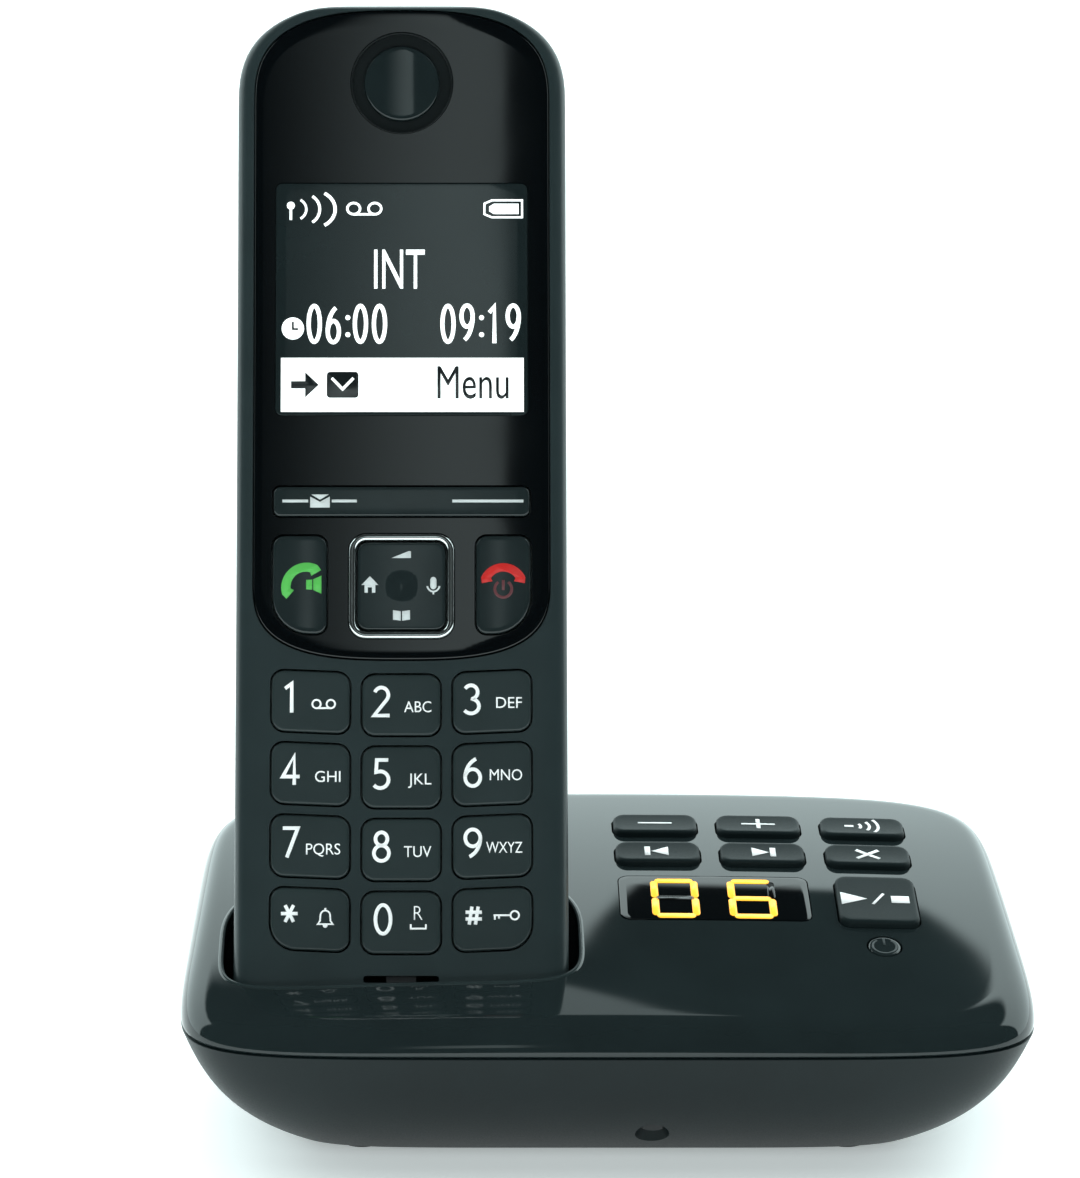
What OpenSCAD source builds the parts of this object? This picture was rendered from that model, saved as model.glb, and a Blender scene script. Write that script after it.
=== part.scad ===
// Cordless phone with an answering base. The handset leans back in the base's charging cradle.
// +X is right, +Y is back and +Z is up, as seen by someone facing the keys.
// The origin is the middle of the bottom of the box around the whole phone.

/* [Base] */
// Width of the base
base_w = 125; // [118:1:150]
// Depth of the base
base_d = 72; // [68:1:88]
// Height of the seam between the base's two shells
seam_z = 22; // [20:0.5:27]
// Height of the top surface's front edge above the seam
rim_h = 4.4; // [3.5:0.1:7]
// Slope of the top surface at its front, in degrees
slope_front = 18; // [14:0.5:22]
// Slope of the top surface at its back, in degrees
slope_back = 3.8; // [2:0.1:10]
// Radius of the top surface's crown from side to side
crown_r = 1400; // [500:10:2000]
// Width of the rounding between the base's top and its sides
edge_r = 5; // [4:0.5:8]
// Narrowing of each side towards the back, in degrees
side_taper = 1.4; // [0:0.1:7]
// Wall of the base's shells
base_wall = 1.8; // [1.4:0.1:2.2]
// Inset of the base's flat bottom from its seam
floor_inset = 15.8; // [12:0.2:18]
// Height of the rubber feet
foot_h = 1.5; // [1:0.1:3]
// Radius of the rubber feet
foot_r = 4; // [3:0.1:5]

/* [Cradle] */
// Place of the cradle's middle, left of the base's middle
cradle_left = 30.1; // [28:0.1:32]
// Lean of the handset, in degrees from upright
lean = 23; // [15:0.5:28]
// Distance of the cradle's front lip behind the base's front
lip_back = 12; // [10:0.5:14]
// Length of the handset below the front lip
sunk = 10.1; // [8:0.1:12]
// Gap between the handset and the cradle at each side
cradle_gap = 2.4; // [1:0.1:3]
// Gap between the handset's face and the front lip
lip_gap = 1.5; // [0.8:0.1:2]
// Wall of the cradle cup
cup_wall = 1.2; // [1:0.1:1.6]

/* [Handset] */
// Length of the handset
hand_l = 156; // [150:1:175]
// Width of the handset
hand_w = 49; // [48:0.5:54]
// Depth from the parting line to the face at the middle of the length
hand_front = 8; // [7.5:0.1:9]
// Distance of the back from the middle of the face, away from the battery bulge
hand_back = 15.5; // [14.5:0.1:18]
// Height of the battery bulge on the back
bulge_h = 8; // [7.5:0.1:10]
// Place of the battery bulge's middle, up from the handset's bottom
bulge_at = 60; // [55:1:66]
// Spread of the battery bulge
bulge_l = 38; // [34:1:44]
// Radius of the hollow curve along the face
face_r = 1200; // [900:50:3000]
// Wall of the handset's shells
hand_wall = 1.8; // [1.4:0.1:2]
// Thickness of the gloss panel
panel_t = 1; // [0.8:0.1:1.1]
// Width of the frame beside the gloss panel
panel_frame = 2.6; // [2:0.1:3.5]

/* [Keys] */
// Width of a digit key
key_w = 11.5; // [9:0.1:12]
// Height of a digit key
key_h = 9; // [7:0.1:9.6]
// Distance between the columns of digit keys
key_dx = 13.3; // [12.6:0.1:14]
// Distance between the rows of digit keys
key_dy = 10.65; // [10.2:0.05:11]
// Middle of the bottom row of digit keys, up from the handset's bottom
key_row0 = 18.9; // [18:0.1:20]
// Radius of the keys' corners
key_r = 1.7; // [1:0.1:2.5]
// Height of a handset key above the face
key_proud = 0.3; // [0.1:0.05:0.6]
// Travel of a handset key
key_travel = 0.5; // [0.3:0.05:0.7]
// Width of a key on the base
ctrl_w = 12.8; // [10:0.1:13.5]
// Depth of a key on the base
ctrl_d = 6.1; // [5:0.1:7.2]
// Height of a base key above the top surface
ctrl_proud = 1.1; // [1:0.1:2.5]
// Travel of a base key
ctrl_travel = 0.8; // [0.4:0.1:1]

/* [Fits] */
// Clearance around every key
key_gap = 0.25; // [0.15:0.05:0.4]
// Clearance around panels, windows and the battery door
seat_gap = 0.12; // [0.08:0.01:0.2]
// Clearance between the two halves of a casing
shell_gap = 0.15; // [0.1:0.05:0.3]

/* [Hidden] */

// Points on one ring of a lofted casing
ring_n = 40;
// Shape powers of the rounded outlines: base plan, handset face side, handset back side, handset ends
plan_power = 6.5;
face_power = 12;
back_power = 3.4;
end_power = 2.8;
edge_power = 2.6;

// ---- Shapes shared by both casings ----

function signed_pow(c, p) = sign(c) * pow(abs(c), p);
function total(v, i = 0) = i == len(v) ? [0, 0, 0] : v[i] + total(v, i + 1);
function middle(ring) = total(ring) / len(ring);

// A closed solid through a stack of rings, with a fan at each end
module loft(rings) {
    n = len(rings[0]);
    m = len(rings);
    points = concat([for (r = rings) each r], [middle(rings[0]), middle(rings[m - 1])]);
    sides = [for (k = [0 : m - 2], i = [0 : n - 1]) let (j = (i + 1) % n, a = k * n, b = a + n)
        each [[a + i, b + i, a + j], [a + j, b + i, b + j]]];
    low_end = [for (i = [0 : n - 1]) [i, (i + 1) % n, n * m]];
    high_end = [for (i = [0 : n - 1]) [(m - 1) * n + (i + 1) % n, (m - 1) * n + i, n * m + 1]];
    polyhedron(points, concat(sides, low_end, high_end), convexity = 6);
}

// A flat plate with round corners, centred in X and Y, from z0 to z1
module plate(w, d, r, z0, z1) {
    translate([0, 0, z0]) linear_extrude(z1 - z0) {
        square([w - 2 * r, d], center = true);
        square([w, d - 2 * r], center = true);
        for (x = [-1, 1], y = [-1, 1]) translate([x * (w / 2 - r), y * (d / 2 - r)]) circle(r, $fn = 32);
    }
}

// A block between two corners
module block(low, high) {
    translate(low) cube(high - low);
}

// ---- Base: shape ----

half_w = base_w / 2;
half_d = base_d / 2;
// Where the base is widest, behind its middle
widest_y = -16;
// Start of the top surface's slope and its length
slope_y0 = 3 - half_d;
slope_len = base_d - 8;

function narrowing(y) = 1 - tan(side_taper) * (y - widest_y) / half_w;
function top_z(x, y) = let (s = y - slope_y0)
    seam_z + rim_h + tan(slope_front) * s
    - (tan(slope_front) - tan(slope_back)) / (2 * slope_len) * s * s - x * x / (2 * crown_r);
function edge_rise(inset) = let (u = min(1, inset / edge_r)) pow(1 - pow(1 - u, edge_power), 1 / edge_power);
function plan_ring(inset) = [for (i = [0 : ring_n - 1]) let (a = 360 * i / ring_n,
    y = (half_d - inset) * signed_pow(sin(a), 2 / plan_power),
    x = (half_w - inset) * signed_pow(cos(a), 2 / plan_power)) [x * narrowing(y), y]];
function flat_ring(inset, z) = [for (p = plan_ring(inset)) [p.x, p.y, z]];
function top_ring(inset, off) = [for (p = plan_ring(inset + off))
    [p.x, p.y, seam_z + (top_z(p.x, p.y) - seam_z) * edge_rise(inset) - off]];
// Share of the lower shell's height below the seam, and the inset there
function under_inset(t) = floor_inset * (0.46 * t + 0.54 * pow(t, 2.8));

top_insets = [0, 0.2, 0.7, 1.6, 3, 5, 12, 20, 27, 31];
under_steps = [1, 0.9, 0.75, 0.55, 0.3, 0];
inner_steps = [1, 0.8, 0.55, 0.3, 0];

// The space under the top surface, drawn in by a wall, down to any height below the seam
module upper_form(off, bottom_z) {
    loft(concat([flat_ring(off, bottom_z)], [for (i = top_insets) top_ring(i, off)]));
}

module lower_form(off, low_z, high_z) {
    steps = off > 0 ? inner_steps : under_steps;
    loft([for (t = steps) flat_ring(under_inset(t) + off, high_z - t * (high_z - low_z))]);
}

// ---- Handset: shape, in its own frame: X across, -Y out of the face, Z along its length ----

parting = hand_front;
end_low = 9;
end_high = 15.5;
end_round = 5.5;
top_round = 2.2;

function face_at(w) = -pow(w - hand_l / 2, 2) / (2 * face_r);
function back_at(w) = hand_back + bulge_h * exp(-pow((w - bulge_at) / bulge_l, 2));
// Share of the full size at a height w, for an end that rounds off over a length r
function end_share(w, r_low, r_high, p) =
    let (u = w < r_low ? (r_low - w) / r_low : w > hand_l - r_high ? (w - hand_l + r_high) / r_high : 0)
    pow(max(0, 1 - pow(min(1, u), p)), 1 / p);
function hand_ring(w, off) =
    let (hx = hand_w / 2 * end_share(w, end_low, end_high, end_power) - off,
        front = (parting - face_at(w)) * end_share(w, end_round, top_round, end_power) - off,
        back = (back_at(w) - parting) * end_share(w, end_round, end_round, end_power) - off)
    [for (i = [0 : ring_n - 1]) let (a = 360 * i / ring_n, p = sin(a) < 0 ? face_power : back_power,
        y = signed_pow(sin(a), 2 / p) * (sin(a) < 0 ? front : back))
        [hx * signed_pow(cos(a), 2 / p), parting + y, w]];

outer_levels = concat([for (a = [88, 74, 58, 40, 20]) end_low * (1 - sin(a))],
    [for (k = [0 : 9]) end_low + k * (hand_l - end_low - end_high) / 9.001],
    [for (a = [12, 28, 44, 58, 70, 80, 87]) hand_l - end_high * (1 - sin(a))]);
inner_levels = concat([for (a = [60, 30]) end_low * (1 - sin(a))],
    [for (k = [0 : 5]) end_low + k * (hand_l - end_low - end_high) / 5.001],
    [for (a = [25, 45, 60]) hand_l - end_high * (1 - sin(a))]);

module hand_form() {
    loft([for (w = outer_levels) hand_ring(w, 0)]);
}

module hand_cavity() {
    loft([for (w = inner_levels) hand_ring(w, hand_wall)]);
}

// Puts a round piece on the face at a height w, with Z into the handset
module on_face(w) {
    translate([0, face_at(w), w]) rotate([atan((w - hand_l / 2) / face_r) - 90, 0, 0]) children();
}

// Extrudes a shape drawn on the face (X across, Y up the handset) from depth y0 to y1
module through_face(y0, y1) {
    translate([0, y1, 0]) rotate([90, 0, 0]) linear_extrude(y1 - y0) children();
}

// A slab that follows the face's curve between two depths
module face_band(d0, d1, w0, w1) {
    steps = ceil((w1 - w0) / 9);
    levels = [for (k = [0 : steps]) w0 + k * (w1 - w0) / steps];
    rotate([90, 0, 90]) translate([0, 0, -hand_w / 2]) linear_extrude(hand_w)
        polygon(concat([for (w = levels) [face_at(w) + d0, w]],
            [for (k = [steps : -1 : 0]) [face_at(levels[k]) + d1, levels[k]]]));
}

module in_handset() {
    translate([hand_x, hand_y, hand_z]) rotate([-lean, 0, 0]) children();
}

// ---- Where the base and the handset stand ----

lip_y = lip_back - half_d;
lip_z = top_z(-cradle_left, lip_y);
hand_dy = lip_y + lip_gap - sunk * sin(lean) - face_at(sunk) * cos(lean);
hand_z = lip_z - sunk * cos(lean) + face_at(sunk) * sin(lean);
// The handset's highest point at the back sets how far the whole phone reaches behind the base
reach_w = hand_l - 3.4;
reach_y = hand_dy + (parting + 0.97 * (back_at(reach_w) - parting)) * cos(lean) + reach_w * sin(lean);
base_y = -(reach_y - half_d) / 2;
hand_x = -cradle_left;
hand_y = base_y + hand_dy;

module in_base() {
    translate([0, base_y, 0]) children();
}

// ---- Handset: sizes that pieces share ----

panel_w = hand_w - 2 * panel_frame;
panel_top = hand_l - 1.7;
panel_low = 57;
panel_curve = 12;
panel_top_curve = 14;
panel_low_power = 3;
ear_at = 143.4;
ear_r = 7.6;
ear_cap_r = 5.6;
window_size = [37.4, 34.8];
window_at = 110.9;
window_r = 1;
soft_size = [37.8, 4.4];
soft_at = 80.6;
soft_r = 1;
call_size = [8, 14.6];
call_x = 15;
call_at = 68.2;
call_r = 1.6;
call_round = 5.4;
nav_at = 68;
nav_outer = 15.6;
nav_width = 1.05;
nav_r = 2.6;
nav_tilt = 3;
soft_tilt = 1.2;
mic_at = 10.2;
mic_size = [11, 1];
board_y = [5.6, 6.6];
mat_y = [4.1, 4.9];
key_back = 3.3;
battery_r = 5.2;
battery_l = 44.5;
battery_low = 39;
battery_y = 13.1;
door_size = [34, 56];
door_at = 63;
door_r = 5;
door_t = 1.6;
tray_wall = 0.9;
hand_screw_r = 0.9;
hand_head_r = 1.7;
hand_post_r = 2;
hand_screws_at = [[-16.5, 137.4], [16.5, 137.4], [-18.2, 9.4], [18.2, 9.4]];
pad_x = 13;
pad_y = 8;
pad_size = [6, 4];
pad_z = [0.3, 1.7];

// A rounded rectangle on the face, exact
module face_rect(size, r) {
    square([size.x - 2 * r, size.y], center = true);
    square([size.x, size.y - 2 * r], center = true);
    for (x = [-1, 1], y = [-1, 1])
        translate([x * (size.x / 2 - r), y * (size.y / 2 - r)]) circle(r, $fn = 32);
}

// The gloss panel's outline: a round top and a U-shaped bottom, grown by a gap
module panel_outline(gap) {
    a = panel_w / 2 + gap;
    b = panel_curve + gap;
    c = panel_top_curve + gap;
    low_y = panel_low + panel_curve;
    high_y = panel_top - panel_top_curve;
    polygon(concat(
        [for (t = [180 : 9 : 360]) [a * signed_pow(cos(t), 2 / panel_low_power),
            low_y + b * signed_pow(sin(t), 2 / panel_low_power)]],
        [for (t = [0 : 9 : 180]) [a * signed_pow(cos(t), 2 / end_power),
            high_y + c * signed_pow(sin(t), 2 / end_power)]]));
}

// The talk key's outline, whose outer low corner follows the panel; side is -1 for left and 1 for right
module call_outline(side, gap) {
    w = call_size.x + 2 * gap;
    h = call_size.y + 2 * gap;
    r = call_r + gap;
    big = call_round + gap;
    mirror([side < 0 ? 1 : 0, 0]) {
        translate([-w / 2, -h / 2 + r]) square([r, h - 2 * r]);
        translate([-w / 2 + r, -h / 2]) square([w - big - r, h]);
        translate([w / 2 - big, -h / 2 + big]) square([big, h - big - r]);
        translate([w / 2 - big, h / 2 - r - 0.01]) square([big - r, r + 0.01]);
        for (y = [-1, 1]) translate([-w / 2 + r, y * (h / 2 - r)]) circle(r, $fn = 32);
        translate([w / 2 - r, h / 2 - r]) circle(r, $fn = 32);
        translate([w / 2 - big, -h / 2 + big]) intersection() {
            circle(big, $fn = 48);
            translate([0, -big]) square(big);
        }
    }
}

// Digit keys by column and row, from the left and from the bottom
function key_place(col, row) = [(col - 1) * key_dx, key_row0 + row * key_dy - (col == 1 ? 0.5 : 0)];
digit_keys = [for (row = [0 : 3], col = [0 : 2]) key_place(col, row)];

// Openings in the face that belong to the keys
module key_holes(gap) {
    for (p = digit_keys) translate(p) face_rect([key_w + 2 * gap, key_h + 2 * gap], key_r + gap);
}

module panel_holes(gap) {
    translate([0, soft_at]) face_rect([soft_size.x + 2 * gap, soft_size.y + 2 * gap], soft_r + gap);
    for (s = [-1, 1]) translate([s * call_x, call_at]) call_outline(s, gap);
    translate([0, nav_at]) face_rect([nav_outer + 2 * seat_gap, nav_outer + 2 * seat_gap], nav_r + seat_gap);
}

module door_prism(gap) {
    translate([0, 0, door_at]) rotate([-90, 0, 0])
        plate(door_size.x + 2 * gap, door_size.y + 2 * gap, door_r + gap, parting + 2, 40);
}

// ---- Handset: pieces ----

// Slots in the handset's lower end for the two charging pads
module pad_slots() {
    for (s = [-1, 1]) translate([s * pad_x, pad_y, 0])
        block([-pad_size.x / 2 - seat_gap, -pad_size.y / 2 - seat_gap, -2],
            [pad_size.x / 2 + seat_gap, pad_size.y / 2 + seat_gap, 4]);
}

// Puts a screw, post or hole on a handset screw's line, with Z towards the back
module on_hand_screws(y) {
    for (p = hand_screws_at) translate([p.x, y, p.y]) rotate([-90, 0, 0]) children();
}

module front_shell() {
    color("#2e3a3b") in_handset() difference() {
        intersection() {
            hand_form();
            union() {
                difference() {
                    block([-40, -20, -5], [40, parting - shell_gap / 2, hand_l + 5]);
                    hand_cavity();
                    intersection() {
                        face_band(-3, panel_t + 0.1, panel_low - 2, hand_l);
                        through_face(-8, 4) panel_outline(seat_gap);
                    }
                    pad_slots();
                }
                for (p = hand_screws_at) let (y = face_at(p.y) + panel_t + 0.3) translate([p.x, y, p.y])
                    rotate([-90, 0, 0]) cylinder(parting - shell_gap / 2 - y, hand_post_r, hand_post_r, $fn = 32);
            }
        }
        through_face(-8, parting - 3) {
            key_holes(key_gap);
            panel_holes(key_gap);
            translate([0, window_at]) face_rect(window_size - [2, 2], window_r);
            translate([0, ear_at]) circle(ear_cap_r - 1, $fn = 48);
            translate([0, mic_at]) square(mic_size, center = true);
        }
        on_hand_screws(parting - 4.2) cylinder(5, hand_screw_r, hand_screw_r, $fn = 24);
    }
}

module rear_shell() {
    color("#2b3637") in_handset() difference() {
        intersection() {
            hand_form();
            union() {
                difference() {
                    block([-40, parting + shell_gap / 2, -5], [40, 60, hand_l + 5]);
                    hand_cavity();
                    door_prism(seat_gap);
                    pad_slots();
                }
                battery_tray();
                on_hand_screws(parting + shell_gap / 2)
                    cylinder(20, hand_post_r + 0.6, hand_post_r + 0.6, $fn = 32);
            }
        }
        on_hand_screws(parting - 1) cylinder(20, hand_screw_r + 0.15, hand_screw_r + 0.15, $fn = 24);
        on_hand_screws(parting + 3.2) cylinder(20, hand_head_r + 0.2, hand_head_r + 0.2, $fn = 32);
    }
}

// The open box under the battery door that holds the two cells
module battery_tray() {
    low_y = battery_y - battery_r - 0.3;
    rim_y = back_at(door_at - door_size.y / 2) - door_t - 0.5;
    half_x = 2 * battery_r + 0.5;
    low_w = battery_low - 2.4;
    high_w = battery_low + battery_l + 2.4;
    difference() {
        block([-half_x - tray_wall, low_y - tray_wall, low_w - tray_wall],
            [half_x + tray_wall, rim_y - 1.2, high_w + tray_wall]);
        block([-half_x, low_y, low_w], [half_x, rim_y, high_w]);
    }
    // Ledges that tie the tray to the shell beside the door
    for (s = [-1, 1]) translate([s > 0 ? half_x + tray_wall - 0.2 : -hand_w / 2, parting + 0.5, low_w])
        cube([hand_w / 2 - half_x - tray_wall + 0.2, 1.2, high_w - low_w]);
}

module battery_door() {
    color("#2b3637") in_handset() difference() {
        intersection() {
            hand_form();
            door_prism(0);
        }
        loft([for (k = [0 : 6]) let (w = door_at - door_size.y / 2 - 2 + k * (door_size.y + 4) / 6)
            hand_ring(w, door_t)]);
        // Thumb grip near the door's top
        for (k = [-1 : 1]) translate([0, back_at(door_at + 22) + 0.1, door_at + 22 + 2.2 * k]) rotate([0, 90, 0])
            cylinder(12, 0.5, 0.5, center = true, $fn = 16);
    }
}

module gloss_panel() {
    color("#10171a") in_handset() difference() {
        intersection() {
            face_band(0.05, panel_t, panel_low - 2, hand_l);
            through_face(-8, 4) panel_outline(0);
        }
        through_face(-8, 6) {
            panel_holes(key_gap);
            translate([0, window_at]) face_rect(window_size + 2 * [seat_gap, seat_gap], window_r + seat_gap);
            translate([0, ear_at]) circle(ear_r + seat_gap, $fn = 64);
        }
    }
}

module display_window() {
    color("#273537") in_handset() intersection() {
        face_band(0.05, panel_t, window_at - 20, window_at + 20);
        through_face(-8, 4) translate([0, window_at]) face_rect(window_size, window_r);
    }
}

module lcd_module() {
    color("#8fa3a3") in_handset() difference() {
        translate([0, 0, window_at]) rotate([-90, 0, 0]) plate(window_size.x - 3, window_size.y + 1, 0.6, 2.1, 5.3);
        translate([0, 0, window_at]) rotate([-90, 0, 0]) plate(window_size.x - 7, window_size.y - 5, 0.6, 2, 2.3);
    }
}

module earpiece_ring() {
    color("#0a0f11") in_handset() on_face(ear_at) difference() {
        cylinder(panel_t, ear_r, ear_r, $fn = 64);
        translate([0, 0, -1]) cylinder(3, ear_cap_r + seat_gap, ear_cap_r + seat_gap, $fn = 64);
        translate([0, 0, -1]) difference() {
            cylinder(1.6, ear_r - 0.35, ear_r - 0.35, $fn = 64);
            cylinder(1.6, ear_cap_r + 0.35, ear_cap_r + 0.35, $fn = 64);
        }
    }
}

module earpiece_cap() {
    color("#263336") in_handset() on_face(ear_at) {
        cylinder(0.4, ear_cap_r - 0.4, ear_cap_r, $fn = 64);
        translate([0, 0, 0.4]) cylinder(panel_t - 0.4, ear_cap_r, ear_cap_r, $fn = 64);
    }
}

module earpiece_speaker() {
    color("#55595a") in_handset() translate([0, 0, ear_at - 0.6]) rotate([-90, 0, 0]) {
        translate([0, 0, 1.4]) cylinder(2.8, 8.6, 8.6, $fn = 48);
        translate([0, 0, 4.2]) cylinder(1.6, 5, 5, $fn = 48);
    }
}

module handset_board() {
    color("#2f6b46") in_handset() difference() {
        block([-16.2, board_y.x, 12], [16.2, board_y.y, 133]);
        for (x = [-1, 1], w = [40, 90]) translate([x * 12, 0, w]) rotate([-90, 0, 0]) cylinder(20, 1, 1, $fn = 24);
    }
}

module key_mat() {
    color("#6c7576") in_handset() {
        block([-20.2, mat_y.x, 13.4], [20.2, mat_y.y, 84]);
        for (p = concat(digit_keys, [[-call_x, call_at], [call_x, call_at]])) translate([p.x, mat_y.y, p.y])
            rotate([-90, 0, 0]) cylinder(0.5, 2, 1.6, $fn = 24);
    }
}

module nav_ring() {
    color("#dfe5e5") in_handset() difference() {
        intersection() {
            face_band(-0.35, panel_t + 0.6, nav_at - 10, nav_at + 10);
            through_face(-8, 6) translate([0, nav_at]) face_rect([nav_outer, nav_outer], nav_r);
        }
        through_face(-8, 6) translate([0, nav_at])
            face_rect([nav_outer, nav_outer] - 2 * [nav_width, nav_width], nav_r - nav_width);
    }
}

nav_key_size = nav_outer - 2 * nav_width - 2 * key_gap;
nav_pivot_y = 2.2;

// The post that lets the four-way key rock about its two middle lines
module nav_hub() {
    color("#3a4344") in_handset() translate([0, nav_pivot_y, nav_at]) sphere(1, $fn = 32);
}

module nav_key() {
    color("#26302f") in_handset() difference() {
        union() {
            intersection() {
                face_band(-key_proud, 1.9, nav_at - 10, nav_at + 10);
                through_face(-8, 6) translate([0, nav_at]) face_rect([nav_key_size, nav_key_size], nav_r - nav_width);
            }
            translate([0, 1.5, nav_at]) rotate([-90, 0, 0]) cylinder(1.7, 2.2, 2.2, $fn = 32);
        }
        translate([0, nav_pivot_y, nav_at]) sphere(1.1, $fn = 32);
        translate([0, -4.35, nav_at]) sphere(4.2, $fn = 48);
    }
}

module microphone() {
    color("#7c8283") in_handset() translate([0, 0.6, mic_at + 0.2]) rotate([-90, 0, 0]) cylinder(2.4, 2.2, 2.2, $fn = 32);
}

module ringer_speaker() {
    color("#4a4f50") in_handset() translate([0, 0, 122]) rotate([-90, 0, 0]) {
        translate([0, 0, 8.6]) cylinder(2.6, 8, 8, $fn = 48);
        translate([0, 0, 7.4]) cylinder(1.2, 4.5, 4.5, $fn = 48);
    }
}

module batteries() {
    color("#4f7c55") in_handset() for (s = [-1, 1]) translate([s * (battery_r + 0.1), battery_y, battery_low]) {
        cylinder(battery_l - 0.9, battery_r, battery_r, $fn = 48);
        translate([0, 0, s > 0 ? battery_l - 0.9 : -0.9]) cylinder(0.9, 1.7, 1.7, $fn = 24);
    }
}

module battery_contacts() {
    color("#c9cdce") in_handset() for (s = [-1, 1]) translate([s * (battery_r + 0.1), battery_y, 0]) {
        translate([-3.4, -3.4, battery_low - 2.3]) cube([6.8, 6.8, 0.5]);
        translate([0, 0, battery_low - 1.8]) cylinder(s > 0 ? 1.75 : 0.85, 2.6, s > 0 ? 1.2 : 2, $fn = 32);
        translate([-3.4, -3.4, battery_low + battery_l + 1.8]) cube([6.8, 6.8, 0.5]);
        translate([0, 0, battery_low + battery_l + (s > 0 ? 0.05 : -0.85)])
            cylinder(s > 0 ? 1.75 : 2.65, s > 0 ? 2 : 1.2, 2.6, $fn = 32);
    }
}

module charge_pads() {
    color("#d8c98e") in_handset() for (s = [-1, 1]) translate([s * pad_x, pad_y, 0])
        block([-pad_size.x / 2, -pad_size.y / 2, pad_z.x], [pad_size.x / 2, pad_size.y / 2, pad_z.y]);
}

module handset_screws() {
    color("#8f9698") in_handset() on_hand_screws(parting) difference() {
        union() {
            translate([0, 0, -3.6]) cylinder(6.9, hand_screw_r - 0.02, hand_screw_r - 0.02, $fn = 24);
            translate([0, 0, 3.22]) cylinder(1.3, hand_head_r, hand_head_r, $fn = 32);
        }
        for (a = [0, 90]) rotate([0, 0, a]) translate([-1, -0.25, 3.95]) cube([2, 0.5, 1]);
    }
}

// A key cap on the face, from key_back up to a crowned top that follows the face
module face_key(at, low, high) {
    in_handset() {
        intersection() {
            face_band(-key_proud, key_back, at.y - low, at.y + high);
            through_face(-8, 6) translate(at) children();
        }
        stem_y = face_at(at.y) + key_back - 0.3;
        translate([at.x, stem_y, at.y]) rotate([-90, 0, 0])
            cylinder(mat_y.x - key_travel - 0.05 - stem_y, 1.4, 1.4, $fn = 24);
    }
}

module digit_key(col, row) {
    color("#2b383a") face_key(key_place(col, row), 6, 6) face_rect([key_w, key_h], key_r);
}

module key_1() { digit_key(0, 3); }
module key_2() { digit_key(1, 3); }
module key_3() { digit_key(2, 3); }
module key_4() { digit_key(0, 2); }
module key_5() { digit_key(1, 2); }
module key_6() { digit_key(2, 2); }
module key_7() { digit_key(0, 1); }
module key_8() { digit_key(1, 1); }
module key_9() { digit_key(2, 1); }
module key_star() { digit_key(0, 0); }
module key_0() { digit_key(1, 0); }
module key_hash() { digit_key(2, 0); }

module talk_key() {
    color("#222c2e") face_key([-call_x, call_at], 9, 9) call_outline(-1, 0);
}

module end_key() {
    color("#222c2e") face_key([call_x, call_at], 9, 9) call_outline(1, 0);
}

// The bar for the two softkeys rocks about its middle
module softkey_bar() {
    color("#2c393c") in_handset() {
        intersection() {
            face_band(-key_proud, 2.4, soft_at - 4, soft_at + 4);
            through_face(-8, 6) translate([0, soft_at]) face_rect(soft_size, soft_r);
        }
        translate([0, 2.3, soft_at]) rotate([-90, 0, 0]) cylinder(mat_y.x - 2.35, 1.2, 1.2, $fn = 24);
    }
}

// ---- Base: sizes that pieces share ----

ctrl_tilt = 11.5;
ctrl_cols = [8.7, 24.6, 40.6];
ctrl_rows = [18.9, 9.5];
ctrl_r = 1.8;
play_at = [40.8, -3.6];
play_size = [11.9, 12.9];
answer_at = [40.9, -14.7];
answer_size = [4.8, 4.8];
base_window_at = [16.6, -2.7];
base_window_size = [28.4, 12.4];
base_window_r = 1.6;
digit_h = 11;
digit_w = 7.2;
digit_x = [10.7, 22.2];
segment_w = 1;
ctrl_back = 3.4;
ctrl_board_at = [24, 2.4];
ctrl_board_size = [41, 41];
screw_posts = [[50, -16.5], [47.5, 18], [-49.5, 18], [6.5, -26.5]];
post_split = 13;
post_r = 2.6;
screw_r = 1.25;
screw_head_r = 2.3;
screw_seat = 9.5;
feet_at = [[-36, -13], [36, -13], [-36, 13], [36, 13]];
foot_seat = 0.6;
speaker_at = [22, -2];
speaker_r = 14;
socket_y = 24;
socket_hole = [9.7, 6.8, 9];
socket_size = [12.4, 9.6, 12];
socket_z = 9.4;
line_x = -14;
power_x = 8;
power_hole = [7.7, 6.8, 9];
contact_size = [4, 2.4];

// Puts a piece on the top surface at a place, with Z out of the surface
module on_top(at) {
    in_base() translate([at.x, at.y, top_z(at.x, at.y)]) rotate([ctrl_tilt, 0, 0]) children();
}

// The cradle's opening seen along the handset: its sides, front and back keep their gaps all round
cup_front = face_at(sunk) - lip_gap;
cup_back = back_at(30) + 2;
cup_floor = -0.35;
cup_plan_r = 8;
cup_corner = 13;

module cup_space(grow, low, high) {
    w = hand_w + 2 * cradle_gap + 2 * grow;
    d = cup_back - cup_front + 2 * grow;
    translate([0, (cup_front + cup_back) / 2, 0]) plate(w, d, cup_plan_r + grow, low, high);
}

// Rounds the cup's low corners, seen from the front
module cup_front_view(grow) {
    w = hand_w + 2 * cradle_gap + 2 * grow;
    r = cup_corner + grow;
    low = cup_floor - grow;
    through_face(-20, 60) {
        translate([-w / 2, low + r]) square([w, 60]);
        translate([-w / 2 + r, low]) square([w - 2 * r, r + 1]);
        for (s = [-1, 1]) translate([s * (w / 2 - r), low + r]) circle(r, $fn = 64);
    }
}

// ---- Base: pieces ----

// Puts something on the line of every base screw
module on_posts(z) {
    for (p = screw_posts) translate([p.x, p.y, z]) children();
}

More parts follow.
